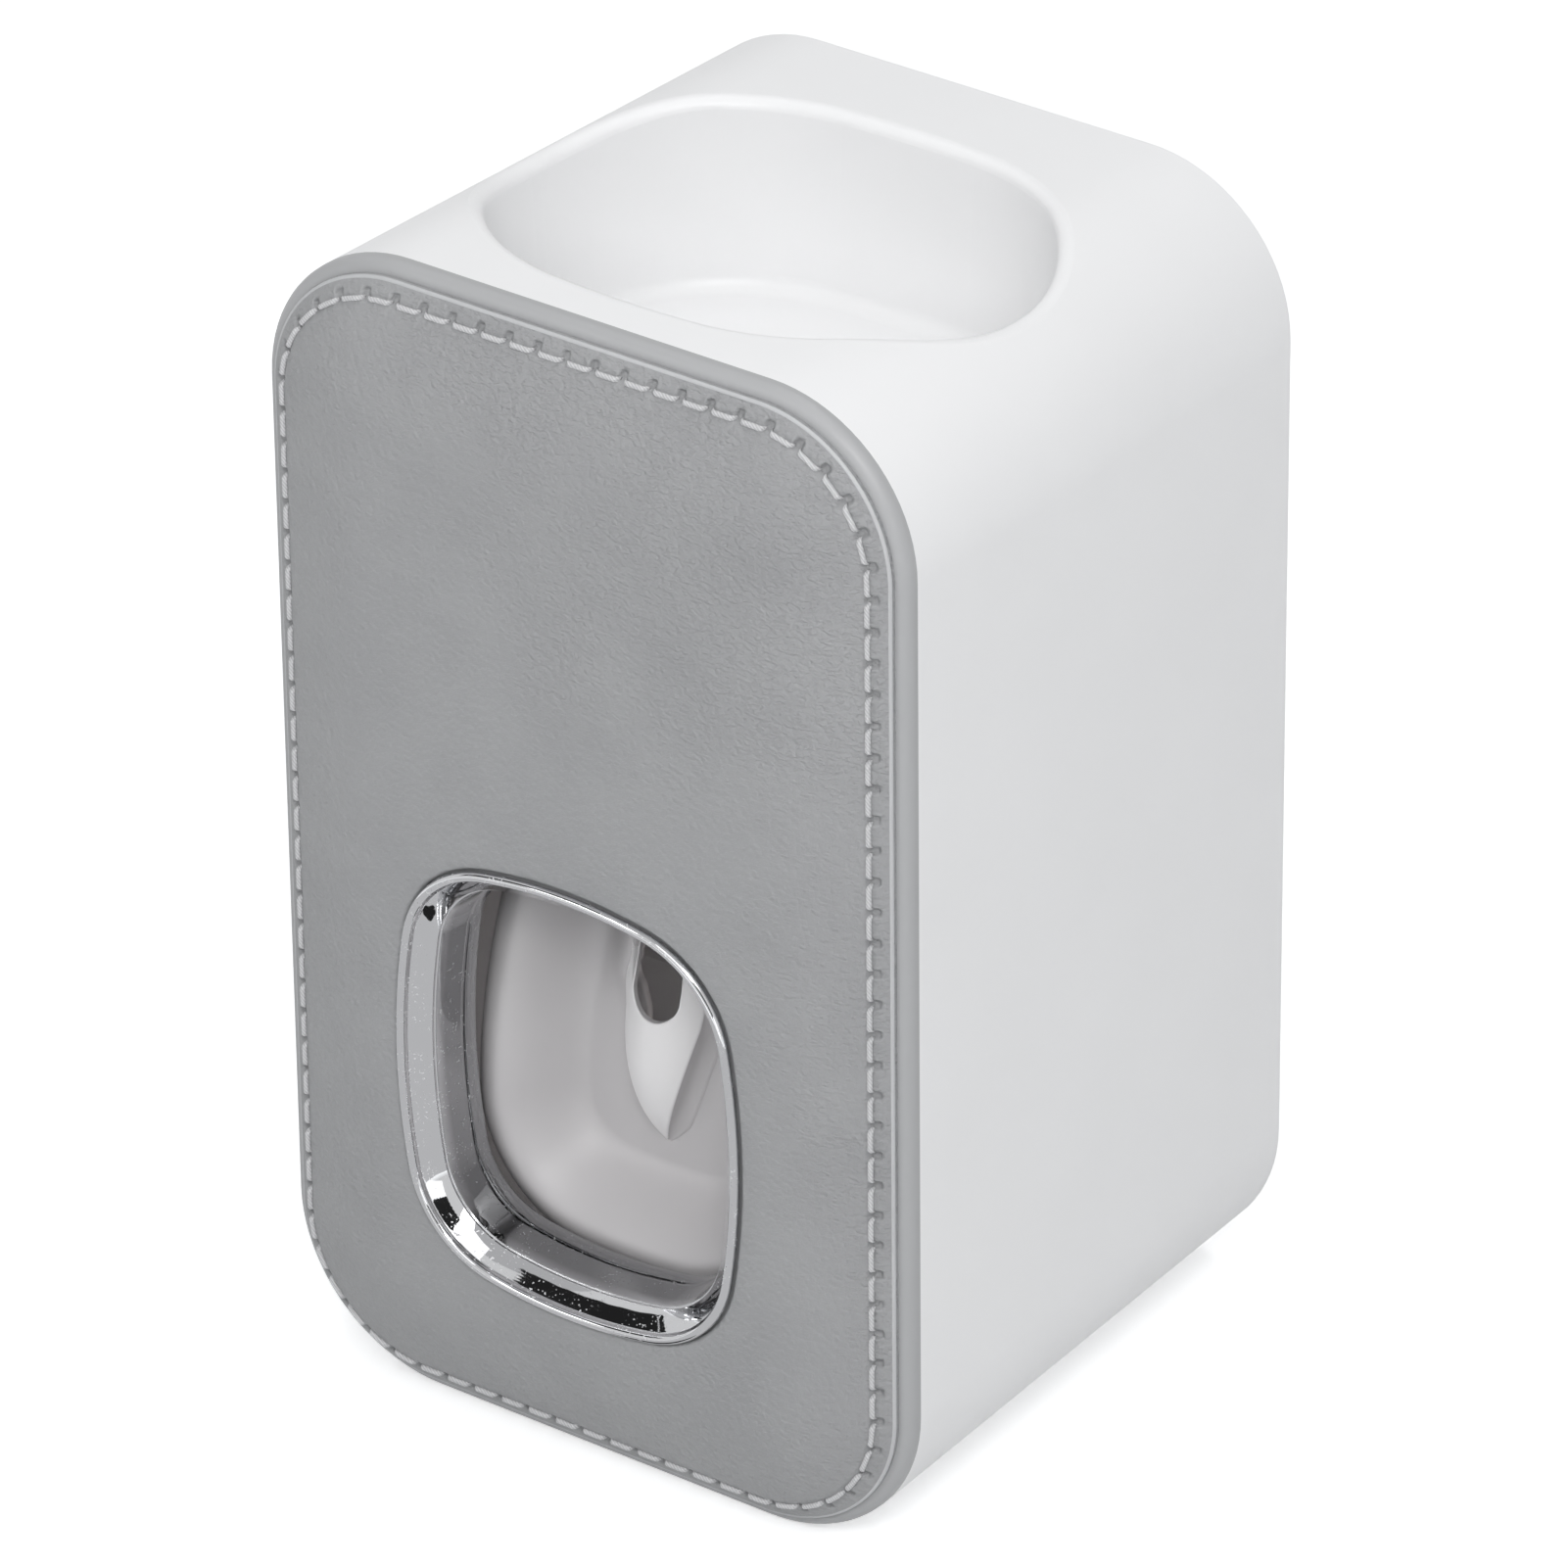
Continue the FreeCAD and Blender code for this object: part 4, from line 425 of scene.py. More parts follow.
def lever_material(name, colour):
    """Smooth light grey plastic of the push lever, with a satin gloss."""
    material, tree, shader = new_material(name, colour, 0.42)
    vector = millimetres(tree)
    tree.links.new(ramp(tree, noise(tree, vector, 0.08, 2.0), tuple(c * 0.97 for c in colour), colour),
                   shader.inputs["Base Color"])
    tree.links.new(ramp(tree, noise(tree, vector, 0.3, 2.0), 0.40, 0.45), shader.inputs["Roughness"])
    bump(tree, shader, noise(tree, vector, 3.0, 2.0), 0.1, 0.004)
    return material


def steel_material(name, colour, roughness, along):
    """Drawn or ground steel with fine marks that run one way."""
    material, tree, shader = new_material(name, colour, roughness, 1.0)
    marks = noise(tree, millimetres(tree, along), 1.0, 4.0, 0.6)
    tree.links.new(ramp(tree, marks, roughness - 0.06, roughness + 0.10), shader.inputs["Roughness"])
    bump(tree, shader, marks, 0.25, 0.01)
    return material


def silicone_material():
    """Milky silicone, slightly see-through where it is thin."""
    material, tree, shader = new_material("silicone", (0.80, 0.80, 0.78), 0.45)
    shader.inputs["Subsurface Weight"].default_value = 0.2
    shader.inputs["Subsurface Radius"].default_value = (0.0012, 0.0011, 0.0010)
    vector = millimetres(tree)
    tree.links.new(ramp(tree, noise(tree, vector, 0.5, 3.0), (0.77, 0.77, 0.75), (0.83, 0.83, 0.81)),
                   shader.inputs["Base Color"])
    bump(tree, shader, noise(tree, vector, 3.0, 2.0), 0.2, 0.02)
    return material


def foam_material():
    """Grey closed-cell foam tape."""
    material, tree, shader = new_material("pad_foam", (0.11, 0.11, 0.115), 0.85)
    cells = tree.nodes.new("ShaderNodeTexVoronoi")
    cells.inputs["Scale"].default_value = 2.6
    tree.links.new(millimetres(tree), cells.inputs["Vector"])
    bump(tree, shader, cells.outputs["Distance"], 0.7, 0.12)
    tree.links.new(ramp(tree, cells.outputs["Distance"], (0.085, 0.085, 0.09), (0.14, 0.14, 0.145), 0.0, 0.7),
                   shader.inputs["Base Color"])
    return material


# Front pieces

def leather_height(inset):
    """The padded front's height before the shell's front edge, by the inset from the case's outline."""
    if inset >= CROWN_INSET:
        return CROWN_HEIGHT
    if inset >= SEAM_INSET:
        share = (inset - SEAM_INSET) / (CROWN_INSET - SEAM_INSET)
        return SEAM_HEIGHT + (CROWN_HEIGHT - SEAM_HEIGHT) * (1 - (1 - share) ** CROWN_POWER)
    share = (inset - BAND_INSET - BAND_ROUND) / (SEAM_INSET - BAND_INSET - BAND_ROUND)
    edge = COVER_PLATE + BAND_EDGE
    return edge + (SEAM_HEIGHT - edge) * share


def seam_dip(inset, along):
    """How far the leather is drawn in along the seam, and at the needle holes."""
    groove = GROOVE_DEPTH * math.exp(-((inset - SEAM_INSET) / GROOVE_HALF) ** 2)
    near = min(along, STITCH_PITCH - along)
    across = inset - SEAM_INSET + HOLE_SHIFT
    hole = HOLE_DEPTH * math.exp(-(near / HOLE_ALONG) ** 4 - (across / HOLE_ACROSS) ** 4)
    rim = RIM_RISE * math.exp(-((near - RIM_AT) / RIM_ALONG) ** 2 - ((across + RIM_SHIFT) / RIM_ACROSS) ** 2)
    return groove + hole - rim


def seam_outline():
    """The seam's line in mesh columns, its length, and the whole number of stitches on it."""
    _, whole = case_outline(SEAM_INSET, 1.0)
    count = round(whole / STITCH_PITCH)
    outline, whole = case_outline(SEAM_INSET, whole / (count * STITCH_COLUMNS))
    return outline, whole, count


def leather_rings(outline, pitch):
    """Rings from the leather's side over its edge and the seam inwards, and where the front starts."""
    edge = arc((BAND_INSET + BAND_ROUND, COVER_PLATE + BAND_EDGE - BAND_ROUND), BAND_ROUND, 180, 90, 6)
    levels = [(BAND_INSET, COVER_PLATE - 0.2)] + edge
    steps = [SEAM_INSET - 1.35, SEAM_INSET - 1.1, SEAM_INSET - 0.88]
    steps += [SEAM_INSET - 0.72 + 0.075 * k for k in range(18)]
    steps += [SEAM_INSET + 0.75, SEAM_INSET + 1.0, 4.5, 4.9, 5.4, 6.0, 6.7, 7.5, 8.4, 9.4, 10.5, 11.7, 12.8]
    rings = []
    for inset, height in levels + [(inset, leather_height(inset)) for inset in steps]:
        ring = []
        for i, (x, z, nx, nz) in enumerate(outline):
            level, shift = height, inset - SEAM_INSET
            if abs(shift) < SEAM_REACH:
                level -= seam_dip(inset, (i % STITCH_COLUMNS) / STITCH_COLUMNS * pitch)
            ring.append((x - nx * shift, FRONT - level, z - nz * shift))
        rings.append(ring)
    return rings, len(edge)


def make_leather():
    """The padded facing, and its rounded edge as a piece of its own, painted lighter as a painted highlight.
    """
    outline, whole, stitches = seam_outline()
    rings, turned = leather_rings(outline, whole / stitches)
    verts, faces = lofted(rings[turned:])
    add_crown(verts, faces, rings[-1])
    base = len(verts)
    side_verts, side_faces = lofted(rings[:2])
    verts += side_verts
    faces += [tuple(base + i for i in face) for face in side_faces]
    piece = make_mesh("leather_front", verts, faces, MATERIALS["grey_leather"])
    rim = make_mesh("leather_edge", *lofted(rings[1:turned + 1]), MATERIALS["leather_edge"])
    for part in (piece, rim):
        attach(part, "housing")
    return piece


def add_crown(verts, faces, rim):
    """The nearly flat middle of the padded front, from the last ring to the window."""
    window = window_outline(24)
    turn_in = arc((HEM_GAP + HEM_ROUND, CROWN_HEIGHT - HEM_ROUND), HEM_ROUND, 90, 180, 6)
    turn_in.append((HEM_GAP, COVER_PLATE + HEM_FOOT))
    hem = [window_ring(window, -outset, height) for outset, height in turn_in]
    made, cells = triangulated([(x, z) for x, _, z in rim], [[(x, z) for x, _, z in hem[0]]], GRID_STEP)
    base, count = len(verts) - len(rim), len(window)
    for point in made[len(rim):]:
        inset = min(HALF - abs(point.x), point.y, TOP - point.y)
        verts.append((point.x, FRONT - leather_height(inset), point.y))
    faces += [tuple(base + i for i in cell) for cell in cells]
    last = base + len(rim)
    for ring in hem[1:]:
        faces += band_faces(last, len(verts), count)
        last = len(verts)
        verts += ring


def make_stitches():
    """One short length of thread for each stitch, its ends drawn down into the needle holes."""
    outline, _, stitches = seam_outline()
    verts, faces = [], []
    for k in range(stitches):
        start, base = k * STITCH_COLUMNS, len(verts)
        wobble = random.uniform(-0.03, 0.03)
        for s in range(STITCH_STATIONS):
            share = s / (STITCH_STATIONS - 1)
            along = (0.5 + (share - 0.5) * STITCH_SHARE * 1.03) * STITCH_COLUMNS
            i = int(along)
            f = along - i
            a, b = outline[(start + i) % len(outline)], outline[(start + i + 1) % len(outline)]
            x, z, nx, nz = (a[m] + (b[m] - a[m]) * f for m in range(4))
            end = abs(share - 0.5) * 2
            fall = THREAD_SINK * max(0.0, (end - 0.66) / 0.34) ** 2
            radius = THREAD_RADIUS * (1 - 0.45 * max(0.0, (end - 0.8) / 0.2) ** 2) * (1 + wobble)
            level = SEAM_HEIGHT - 0.10 + THREAD_RADIUS * 0.75 - fall
            for m in range(THREAD_SIDES):
                angle = 2 * math.pi * m / THREAD_SIDES
                out, up = math.cos(angle) * radius * 1.12, math.sin(angle) * radius
                verts.append((x + nx * out, FRONT - level - up, z + nz * out))
        last = base + (STITCH_STATIONS - 1) * THREAD_SIDES
        for first in range(base, last, THREAD_SIDES):
            faces += band_faces(first, first + THREAD_SIDES, THREAD_SIDES)
        faces.append(tuple(range(base, base + THREAD_SIDES))[::-1])
        faces.append(tuple(range(last, last + THREAD_SIDES)))
    piece = make_mesh("seam_stitches", verts, faces, MATERIALS["seam_thread"])
    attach(piece, "housing")


def bezel_section():
    """The chrome frame's section, as inset from its outline and height before the shell's front edge."""
    reach, bead = BEZEL_REACH, BEZEL_BEAD
    foot = [(0.85, CROWN_HEIGHT - 1.2), (0.30, CROWN_HEIGHT - 0.25)]
    crest = arc((bead, reach - bead), bead, 195, 0, 24)
    behind = [(2 * bead, reach - 0.66), (2 * bead + 0.03, reach - 0.74), (2 * bead + 0.10, reach - 0.81)]
    return foot + crest + behind + BEZEL_STEP + BEZEL_THROAT + BEZEL_BACK


def make_bezel():
    """The chrome frame, its section carried round the window's outline."""
    outline = window_outline(30)
    rings = [window_ring(outline, inset, height) for inset, height in bezel_section()]
    piece = make_mesh("chrome_frame", *lofted(rings), MATERIALS["chrome_plating"])
    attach(piece, "housing")
    return piece


# Push lever

def lip_depth(z):
    """The lip's crest: upright low down, bowed back, then straight towards the pivot."""
    rise = min(max(z - LIP_BEND, 0.0), LIP_LEAN - LIP_BEND)
    root = math.sqrt(LIP_BOW ** 2 - rise ** 2)
    return LIP_DEPTH + LIP_BOW - root + max(z - LIP_LEAN, 0.0) * rise / root


def back_depth(z):
    """The dish's back wall: upright low down, then leaning back."""
    rise = z - BACK_BEND
    return BACK_DEPTH + BACK_SLOPE * (rise + math.hypot(rise, 3.0)) / 2


def beak_depth(z):
    """The beak's bowed face, and its straight runs behind the nozzle."""
    low, high = BEAK_RUNS
    if z < low[0]:
        return BEAK_DEPTH + BEAK_BOW - math.sqrt(BEAK_BOW ** 2 - (z - BEAK_MID) ** 2)
    start, depth, slope = low if z < high[0] else high
    return depth + slope * (z - start)


def eased(share):
    """A share from 0 to 1 that starts and ends softly."""
    share = min(max(share, 0.0), 1.0)
    return share * share * (3 - 2 * share)


def beak_half(z):
    """The beak's half width at a height: one arc from the tip, which then closes in on the slot."""
    rise = BEAK_WIDE - BEAK_TIP
    chord = math.hypot(BEAK_HALF, rise)
    reach = math.sqrt(BEAK_SIDE_BOW ** 2 - (chord / 2) ** 2) / chord
    cx, cz = BEAK_HALF / 2 - rise * reach, (BEAK_WIDE + BEAK_TIP) / 2 + BEAK_HALF * reach
    half = cx + math.sqrt(BEAK_SIDE_BOW ** 2 - (z - cz) ** 2)
    shut = eased((z - BEAK_WIDE - BEAK_SHUT_AT) / BEAK_SHUT_RUN)
    return half * (1 - shut) + (SLOT_HALF + BEAK_RIM) * shut


def face_depth(x, z):
    """The beak's face, bowed across as well."""
    return beak_depth(z) + BEAK_CROWN * (x / BEAK_HALF) ** 2


def dish_depth(x, z):
    """The dish's back wall, which comes forward beside the slot until it is flush with the beak's face."""
    back = back_depth(z)
    if z <= RIDGE_LOW:
        return back
    half, inner = beak_half(z), LEVER_HALF - LIP_ROLL - WALL_RUN
    share = eased((z - RIDGE_LOW) / (RIDGE_HIGH - RIDGE_LOW)) * eased((inner - abs(x)) / (inner - half))
    return back - share * (back - face_depth(half, z))


def dish_outline():
    """The lever's dish from the front, open at the top, from its left to its right upper end."""
    swing, cx = LEVER_BOW - LEVER_CORNER, LEVER_HALF - LEVER_CORNER
    bow_z = LEVER_FOOT + LEVER_BOW
    cz = bow_z - math.sqrt(swing ** 2 - cx ** 2)
    touch = math.atan2(cz - bow_z, cx)
    right = []
    for k in range(9):
        t = -math.pi / 2 + (touch + math.pi / 2) * k / 9
        nx, nz = math.cos(t), math.sin(t)
        right.append((LEVER_BOW * nx, bow_z + LEVER_BOW * nz, nx, nz))
    for k in range(24):
        t = touch * (1 - k / 24)
        nx, nz = math.cos(t), math.sin(t)
        right.append((cx + LEVER_CORNER * nx, cz + LEVER_CORNER * nz, nx, nz))
    for k in range(31):
        right.append((LEVER_HALF, cz + (LEVER_HEAD - cz) * k / 30, 1.0, 0.0))
    return [(-x, z, -nx, nz) for x, z, nx, nz in right[:0:-1]] + right


def dish_section():
    """Insets of the dish's rings, with each one's depth as a function of its height."""
    rings = [(0.0, lambda z: lip_depth(z) + LIP_ROLL + 3.0)]
    for inset, depth in arc((LIP_ROLL, LIP_ROLL), LIP_ROLL, 180, 270, 12):
        rings.append((inset, lambda z, depth=depth: lip_depth(z) + depth))
    for k in range(1, 21):
        blend = eased(k / 20)
        rings.append((LIP_ROLL + WALL_RUN * k / 20,
                      lambda z, blend=blend: lip_depth(z) + (back_depth(z) - lip_depth(z)) * blend))
    return rings


def slot_points():
    """The slot's edge, from its right upper end round its lower end to its left upper end."""
    low_end = arc((0, SLOT_LOW + SLOT_HALF), SLOT_HALF, 0, -180, 24)
    return [(SLOT_HALF, LEVER_HEAD), *low_end, (-SLOT_HALF, LEVER_HEAD)]


def dish_skin():
    """The dish's face, from its outer wall over the rolled lip to the back wall around the beak."""
    outline = dish_outline()
    rings = []
    for inset, depth in dish_section():
        ring = []
        for x, z, nx, nz in outline:
            z_in = z - nz * inset
            ring.append((x - nx * inset, FRONT + depth(z_in), z_in))
        rings.append(ring)
    verts, faces = lofted(rings, closed=False)
    base, count = len(verts) - len(outline), len(outline)
    right, _, left = beak_loop()
    loop = [(x, z) for x, _, z in rings[-1]] + right[::-1] + left[::-1]
    made, cells = triangulated(loop, step=0.9)
    verts += [(point.x, FRONT + dish_depth(*point), point.y) for point in made[count:]]
    faces += [tuple(base + i for i in cell) for cell in cells]
    return verts, faces


def beak_loop():
    """The beak from the front, from its tip up the right side, round the slot and down the left side."""
    heights = [BEAK_TIP + (LEVER_HEAD - BEAK_TIP) * (k / 60) ** 1.3 for k in range(61)]
    side = [(0.0, BEAK_TIP)] + [(beak_half(z), z) for z in heights[1:]]
    return side, slot_points(), [(-x, z) for x, z in side[:0:-1]]


def beak_skin():
    """The beak's walls, from their soft foot on the dish to a fine rounded edge, and its face."""
    right, slot, left = beak_loop()
    loop = right + slot + left
    count, turns = len(loop), 7
    normals, foot, edge = [], [], []
    for i, (x, z) in enumerate(loop):
        a, b = loop[i - 1], loop[(i + 1) % count]
        length = math.hypot(b[0] - a[0], b[1] - a[1])
        normals.append(((b[1] - a[1]) / length, (a[0] - b[0]) / length))
        height = max(dish_depth(x, z) - face_depth(x, z), 0.02)
        in_slot = len(right) <= i < len(right) + len(slot)
        foot.append(0.0 if in_slot else min(BEAK_FOOT, 0.75 * height))
        edge.append(BEAK_EDGE if in_slot else min(BEAK_EDGE, 0.2 * height))

    def ring(outward, depth):
        points = []
        for i, (x, z) in enumerate(loop):
            out = outward(i)
            px, pz = x + normals[i][0] * out, z + normals[i][1] * out
            points.append((px, FRONT + depth(i, px, pz), pz))
        return points

    def wall_depth(i, x, z, k):
        """Evenly up the slot's wall, round the foot elsewhere; the lowest ring is sunk into the dish."""
        if foot[i] == 0.0:
            return face_depth(x, z) + edge[i] + (SLOT_WALL - edge[i]) * (1 - k / (turns + 1))
        if k == 0:
            return dish_depth(x, z) + 0.4
        return dish_depth(x, z) + foot[i] * (math.sin(math.radians(90 - 15 * (k - 1))) - 1)

    rings = []
    for k in range(turns + 1):
        turn = math.radians(90 - 15 * max(k - 1, 0))
        rings.append(ring(lambda i: foot[i] * (1 - math.cos(turn)), lambda i, x, z: wall_depth(i, x, z, k)))
    for k in range(5):
        turn = math.radians(22.5 * k)
        rings.append(ring(lambda i: edge[i] * (math.cos(turn) - 1),
                          lambda i, x, z: face_depth(x, z) + edge[i] * (1 - math.sin(turn))))
    walls = lofted(rings[:-4])
    verts, faces = lofted(rings[-5:])
    base = len(verts) - count
    made, cells = triangulated([(x, z) for x, _, z in rings[-1]], step=0.8)
    verts += [(point.x, FRONT + face_depth(*point), point.y) for point in made[count:]]
    faces += [tuple(base + i for i in cell) for cell in cells]
    return walls, (verts, faces)


def disc(centre, radius, count=36):
    """Points on a circle, counter-clockwise."""
    return [(centre[0] + radius * math.cos(t), centre[1] + radius * math.sin(t))
            for t in (2 * math.pi * k / count for k in range(count))]


def hull(*discs):
    """The outline of a belt round some circles."""
    points = [Vector(point) for one in discs for point in one]
    return [tuple(points[i]) for i in geometry.convex_hull_2d(points)]


def plate(outer, holes, low, high):
    """A flat plate across X, from its outline and holes as (depth, height)."""
    made, cells = triangulated(outer, holes)
    verts = [(x, FRONT + p.x, p.y) for x in (low, high) for p in made]
    count = len(made)
    faces = [cell[::-1] for cell in cells] + [tuple(count + i for i in cell) for cell in cells]
    base = 0
    for loop in (outer, *holes):
        n = len(loop)
        faces += band_faces(base, count + base, n)
        base += n
    return verts, faces


def lever_arm(side):
    """One arm: the plate from the pivot to the fork, and the one down to the dish."""
    low, high = sorted((side * ARM_INNER, side * ARM_OUTER))
    reach = Vector((FORK_HALF, 0))
    eye = disc(PIVOT, ARM_EYE)[::-1]
    slot = hull(disc(FORK - reach, FORK_GAP), disc(FORK + reach, FORK_GAP))[::-1]
    fork = hull(disc(PIVOT, ARM_ROUND), disc(FORK - reach, FORK_ROUND), disc(FORK + reach, FORK_ROUND))
    web = hull(disc(PIVOT, ARM_ROUND), disc(WEB_END, WEB_ROUND))
    return [plate(fork, [eye, slot], low, high), plate(web, [eye], low + 0.1, high - 0.1)]


def make_lever():
    """The push lever: a dish with a rolled lip, the slotted beak in its middle, and two arms with forks."""
    material = MATERIALS["lever_plastic"]
    dish = make_mesh("lever_dish", *dish_skin(), material)
    wall = dish.modifiers.new("wall", "SOLIDIFY")
    wall.thickness, wall.offset = LEVER_WALL * MM, -1.0
    walls, face = beak_skin()
    beak = make_mesh("lever_beak", *walls, material)
    # The beak's face gets the lighter copy of the lever's plastic: painted light on the face.
    front = make_mesh("lever_beak_face_painted_light", *face, MATERIALS["lever_beak"])
    arms = []
    for side, word in ((-1, "left"), (1, "right")):
        for k, (verts, faces) in enumerate(lever_arm(side)):
            arm = make_mesh("lever_arm_%s_%d" % (word, k), verts, faces, material, smooth=False)
            soft = arm.modifiers.new("edges", "BEVEL")
            soft.width, soft.segments, soft.angle_limit = 0.25 * MM, 2, math.radians(40)
            arms.append(arm)
    for piece in (dish, beak, front, *arms):
        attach(piece, "lever")
    return dish


# Studio

def make_camera():
    """The photo's view."""
    data = bpy.data.cameras.new("camera")
    data.lens, data.sensor_width = CAMERA_LENS, CAMERA_SENSOR
    data.clip_start, data.clip_end = 0.05, 20
    camera = bpy.data.objects.new("camera", data)
    bpy.context.scene.collection.objects.link(camera)
    view = Matrix.Translation(Vector(CAMERA_PLACE))
    for angle, axis in zip(CAMERA_TURN, "ZXZ"):
        view = view @ Matrix.Rotation(math.radians(angle), 4, axis)
    camera.matrix_world = view
    bpy.context.scene.camera = camera


def seen_white(tree):
    """1 for rays that should meet a white background: from the camera, mirrors and glass."""
    path = tree.nodes.new("ShaderNodeLightPath")
    either = calc(tree, "MAXIMUM", path.outputs["Is Camera Ray"], path.outputs["Is Glossy Ray"])
    return calc(tree, "MAXIMUM", either, path.outputs["Is Transmission Ray"])


def make_world():
    """Even daylight, which the camera and mirrors see as pure white."""
    world = bpy.data.worlds.new("studio")
    world.use_nodes = True
    tree = world.node_tree
    light = tree.nodes["Background"]
    light.inputs["Color"].default_value = (0.97, 0.985, 1.0, 1)
    light.inputs["Strength"].default_value = WORLD_LEVEL
    white = tree.nodes.new("ShaderNodeBackground")
    white.inputs["Strength"].default_value = 1.0
    mix = tree.nodes.new("ShaderNodeMixShader")
    tree.links.new(seen_white(tree), mix.inputs["Fac"])
    tree.links.new(light.outputs[0], mix.inputs[1])
    tree.links.new(white.outputs[0], mix.inputs[2])
    tree.links.new(mix.outputs[0], tree.nodes["World Output"].inputs["Surface"])
    bpy.context.scene.world = world


def make_floor():
    """A pale sweep that the camera sees nearly white and that keeps the object's shadow."""
    material, tree, shader = new_material("paper_floor", (0.86, 0.865, 0.87), 0.9)
    bump(tree, shader, noise(tree, millimetres(tree), 0.8, 3.0), 0.05, 0.02)
    shader.inputs["Emission Color"].default_value = (1, 1, 1, 1)
    tree.links.new(calc(tree, "MULTIPLY", seen_white(tree), FLOOR_GLOW), shader.inputs["Emission Strength"])
    ring = [(x, y, 0) for x, y in disc((0, 0), 3000, 96)]
    make_mesh("floor", ring, [tuple(range(len(ring)))], material, smooth=False)


def make_lamp(name, place, size, power):
    """A square soft box that points at the object's middle."""
    data = bpy.data.lights.new(name, "AREA")
    data.size, data.energy = size, power
    lamp = bpy.data.objects.new(name, data)
    bpy.context.scene.collection.objects.link(lamp)
    lamp.location = place
    lamp.rotation_euler = (Vector(MIDDLE) - Vector(place)).to_track_quat("-Z", "Y").to_euler()


def make_glow():
    """The little light that white plastic walls let through to the inside of the case."""
    data = bpy.data.lights.new("glow", "POINT")
    data.shadow_soft_size, data.energy, data.color = 0.005, 0.0019, (1.0, 0.93, 0.92)
    lamp = bpy.data.objects.new("glow", data)
    bpy.context.scene.collection.objects.link(lamp)
    lamp.location = (0, 0.012, 0.024)


def make_card(name, outline, level):
    """A flat card that only mirrors and glossy surfaces see, as a studio's flags and sheets shape chrome."""
    material = bpy.data.materials.new(name)
    material.use_nodes = True
    tree = material.node_tree
    tree.nodes.remove(tree.nodes["Principled BSDF"])
    glow = tree.nodes.new("ShaderNodeEmission")
    glow.inputs["Color"].default_value = (level, level, level * 1.01, 1)
    tree.links.new(glow.outputs[0], tree.nodes["Material Output"].inputs["Surface"])
    card = make_mesh(name, outline, [tuple(range(len(outline)))], material, smooth=False)
    for kind in ("camera", "diffuse", "transmission", "volume_scatter", "shadow"):
        setattr(card, "visible_" + kind, False)


def card_place(toward, along, distance):
    """Maps a flat outline to a card that faces the window from a direction, long side along another."""
    window = Vector((0, FRONT - 4, WINDOW_MID))
    facing = Vector(toward).normalized()
    long_way = Vector(along)
    long_way = (long_way - facing * long_way.dot(facing)).normalized()
    across = facing.cross(long_way)
    return lambda u, v: tuple(window + facing * distance + long_way * u + across * v)


def standing_card(name, place, length, width, level, torn=0.0):
    """A rectangular card, perhaps with torn edges."""
    corners = [(-0.5, -0.5), (0.5, -0.5), (0.5, 0.5), (-0.5, 0.5)]
    outline, steps = [], 36 if torn else 1
    for (a, b), (c, d) in zip(corners, corners[1:] + corners[:1]):
        for k in range(steps):
            pull = 1 - torn * (random.random() + 0.6 + 0.6 * math.sin(1.1 * k))
            u, v = (a + (c - a) * k / steps) * pull, (b + (d - b) * k / steps) * pull
            outline.append(place(length * u, width * v))
    make_card(name, outline, level)


def zigzag_card(name, place, middle, width, level):
    """A narrow jagged strip across the long way."""
    steps = round(width / 5)
    line = [(middle + (4.5 if k % 2 else -4.5) + random.uniform(-2, 2), width * (k / steps - 0.5))
            for k in range(steps + 1)]
    outline = [place(u - 1.6, v) for u, v in line] + [place(u + 1.6, v) for u, v in line[::-1]]
    make_card(name, outline, level)


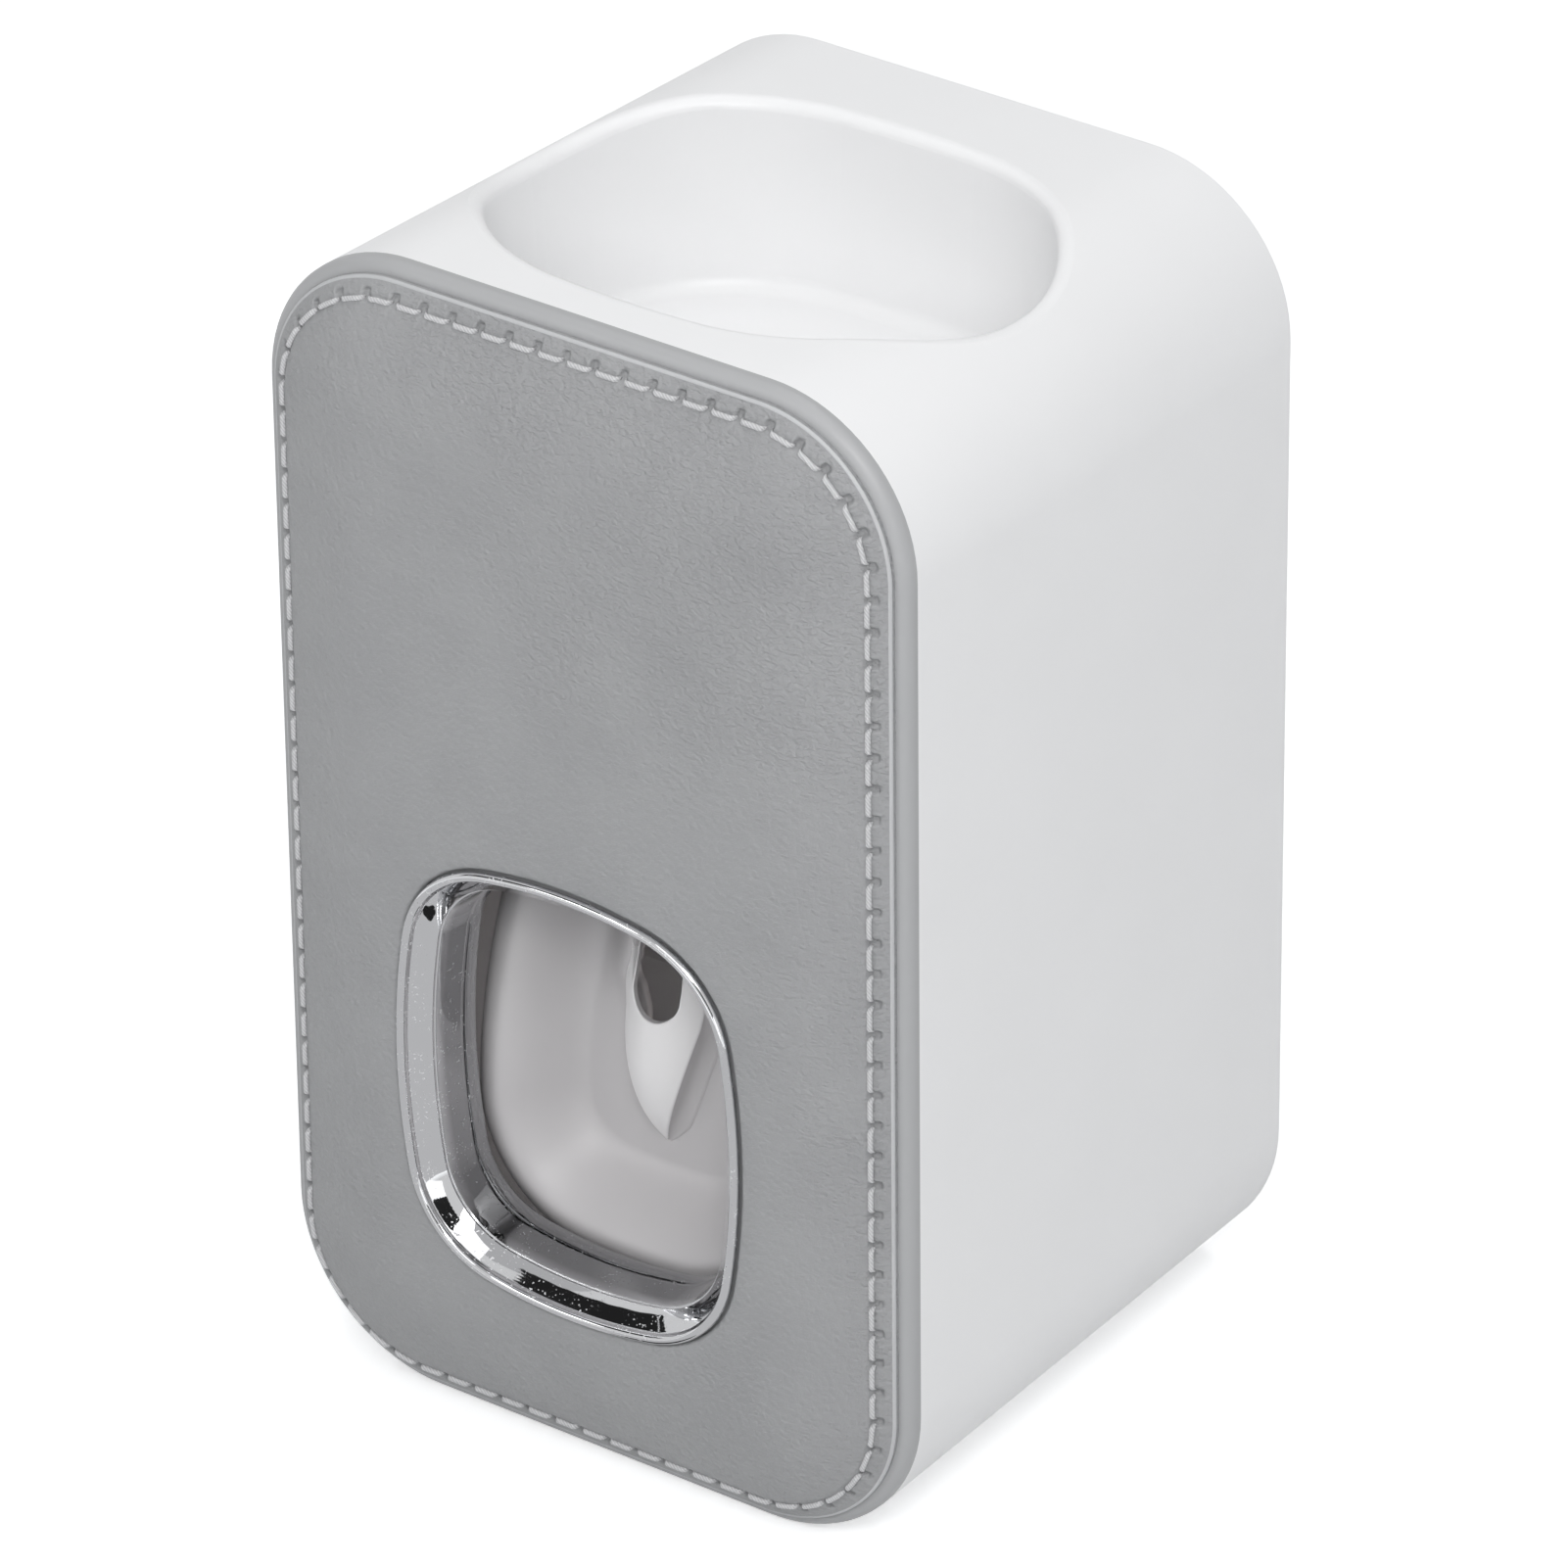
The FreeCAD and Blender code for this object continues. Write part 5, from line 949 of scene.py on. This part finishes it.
def make_cards():
    """What the chrome mirrors: a grey disc over the floor, painted shade in place of the floor's shade near
    the object, a ceiling, white sheets, dark flags, and a jagged strip.
    """
    table = disc((0, -60), 260, 64)
    # Painted shade: a grey disc that only mirrors see, standing in for the shaded floor round the object.
    make_card("card_floor_shade", [(x, y, 0.4) for x, y in table], 0.64)
    make_card("card_ceiling", [(x, y, 400) for x, y in table], 0.55)
    make_card("card_sheen", [(-130, -520, 0.5), (120, -520, 0.5), (120, -335, 0.5), (-130, -335, 0.5)], 2.4)
    turns = [2 * math.pi * k / 24 for k in range(24)]
    make_card("card_fleck", [(1.5 + 7 * math.cos(t) * (1 + 0.3 * math.cos(3 * t)), 6 * math.sin(t) - 39, 0.6)
                             for t in turns], DARK_CARD)
    right, left, back = (-0.28, -0.05, 0.45), (-0.45, 0.19, -0.20), (1, 0, 0)
    sheet_right = card_place((0.71, -0.68, 0.10), right, 365)
    sheet_left = card_place((0.15, -0.69, 0.71), (-0.45, 0.0, 0.10), 365)
    standing_card("card_sheet_right", sheet_right, 150, 150, WHITE_CARD)
    standing_card("card_sheet_left", sheet_left, 150, 170, WHITE_CARD)
    flag_right = card_place((0.60, -0.72, 0.36), right, 350)
    standing_card("card_flag_right", flag_right, 170, 140, DARK_CARD, 0.05)
    toward = (-0.65, -0.46, 0.62)
    standing_card("card_flag_left", card_place(toward, left, 350), 250, 150, DARK_CARD, 0.04)
    zigzag_card("card_zigzag", card_place(toward, left, 345), 78, 120, WHITE_CARD)
    standing_card("card_flag_back", card_place((-0.15, 0.45, 0.88), back, 330), 420, 110, DARK_CARD)
    standing_card("card_strip_back", card_place((-0.25, 0.14, 0.95), back, 330), 420, 35, WHITE_CARD)


MATERIALS = {
    "white_shell": moulded_plastic("white_shell", (0.86, 0.86, 0.865), 0.38),
    "grey_cover": moulded_plastic("grey_cover", (0.40, 0.403, 0.41), 0.42),
    "grey_leather": leather_material(),
    # The leather's rounded edge: painted lighter than the leather, a painted highlight along it.
    "leather_edge": moulded_plastic("leather_edge", (0.50, 0.505, 0.515), 0.5),
    "seam_thread": thread_material(),
    "chrome_plating": chrome_material(),
    "lever_plastic": lever_material("lever_plastic", (0.58, 0.565, 0.573)),
    # The beak's face: the lever's plastic painted much lighter, as painted light where light falls on it.
    "lever_beak": lever_material("lever_beak", (0.85, 0.84, 0.845)),
    "pump_plastic": moulded_plastic("pump_plastic", (0.74, 0.74, 0.73), 0.45),
    "silicone": silicone_material(),
    "pin_steel": steel_material("pin_steel", (0.56, 0.56, 0.57), 0.25, (0.4, 6, 6)),
    "spring_steel": steel_material("spring_steel", (0.50, 0.50, 0.51), 0.30, (2, 2, 0.5)),
    "screw_steel": steel_material("screw_steel", (0.55, 0.54, 0.53), 0.32, (3, 3, 0.6)),
    "back_plastic": moulded_plastic("back_plastic", (0.78, 0.78, 0.79), 0.5, grain=0.5, depth=0.03),
    "bracket_plastic": moulded_plastic("bracket_plastic", (0.76, 0.76, 0.77), 0.45),
    "pad_foam": foam_material(),
}

make_camera()
make_world()
make_floor()
for lamp, sizes in LAMPS.items():
    make_lamp(lamp, *sizes)
make_glow()
make_cards()

for part in frame["record"]["subparts"]:
    node = frame["nodes"][part["node"]]
    node.data.materials.clear()
    node.data.materials.append(MATERIALS[part["material_slot"]])

leather = make_leather()
make_stitches()
frame_piece = make_bezel()
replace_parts(leather, "leather_facing")
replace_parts(frame_piece, "chrome_bezel")
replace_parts(make_lever(), "push_lever")

bpy.context.scene.view_settings.view_transform = "Standard"
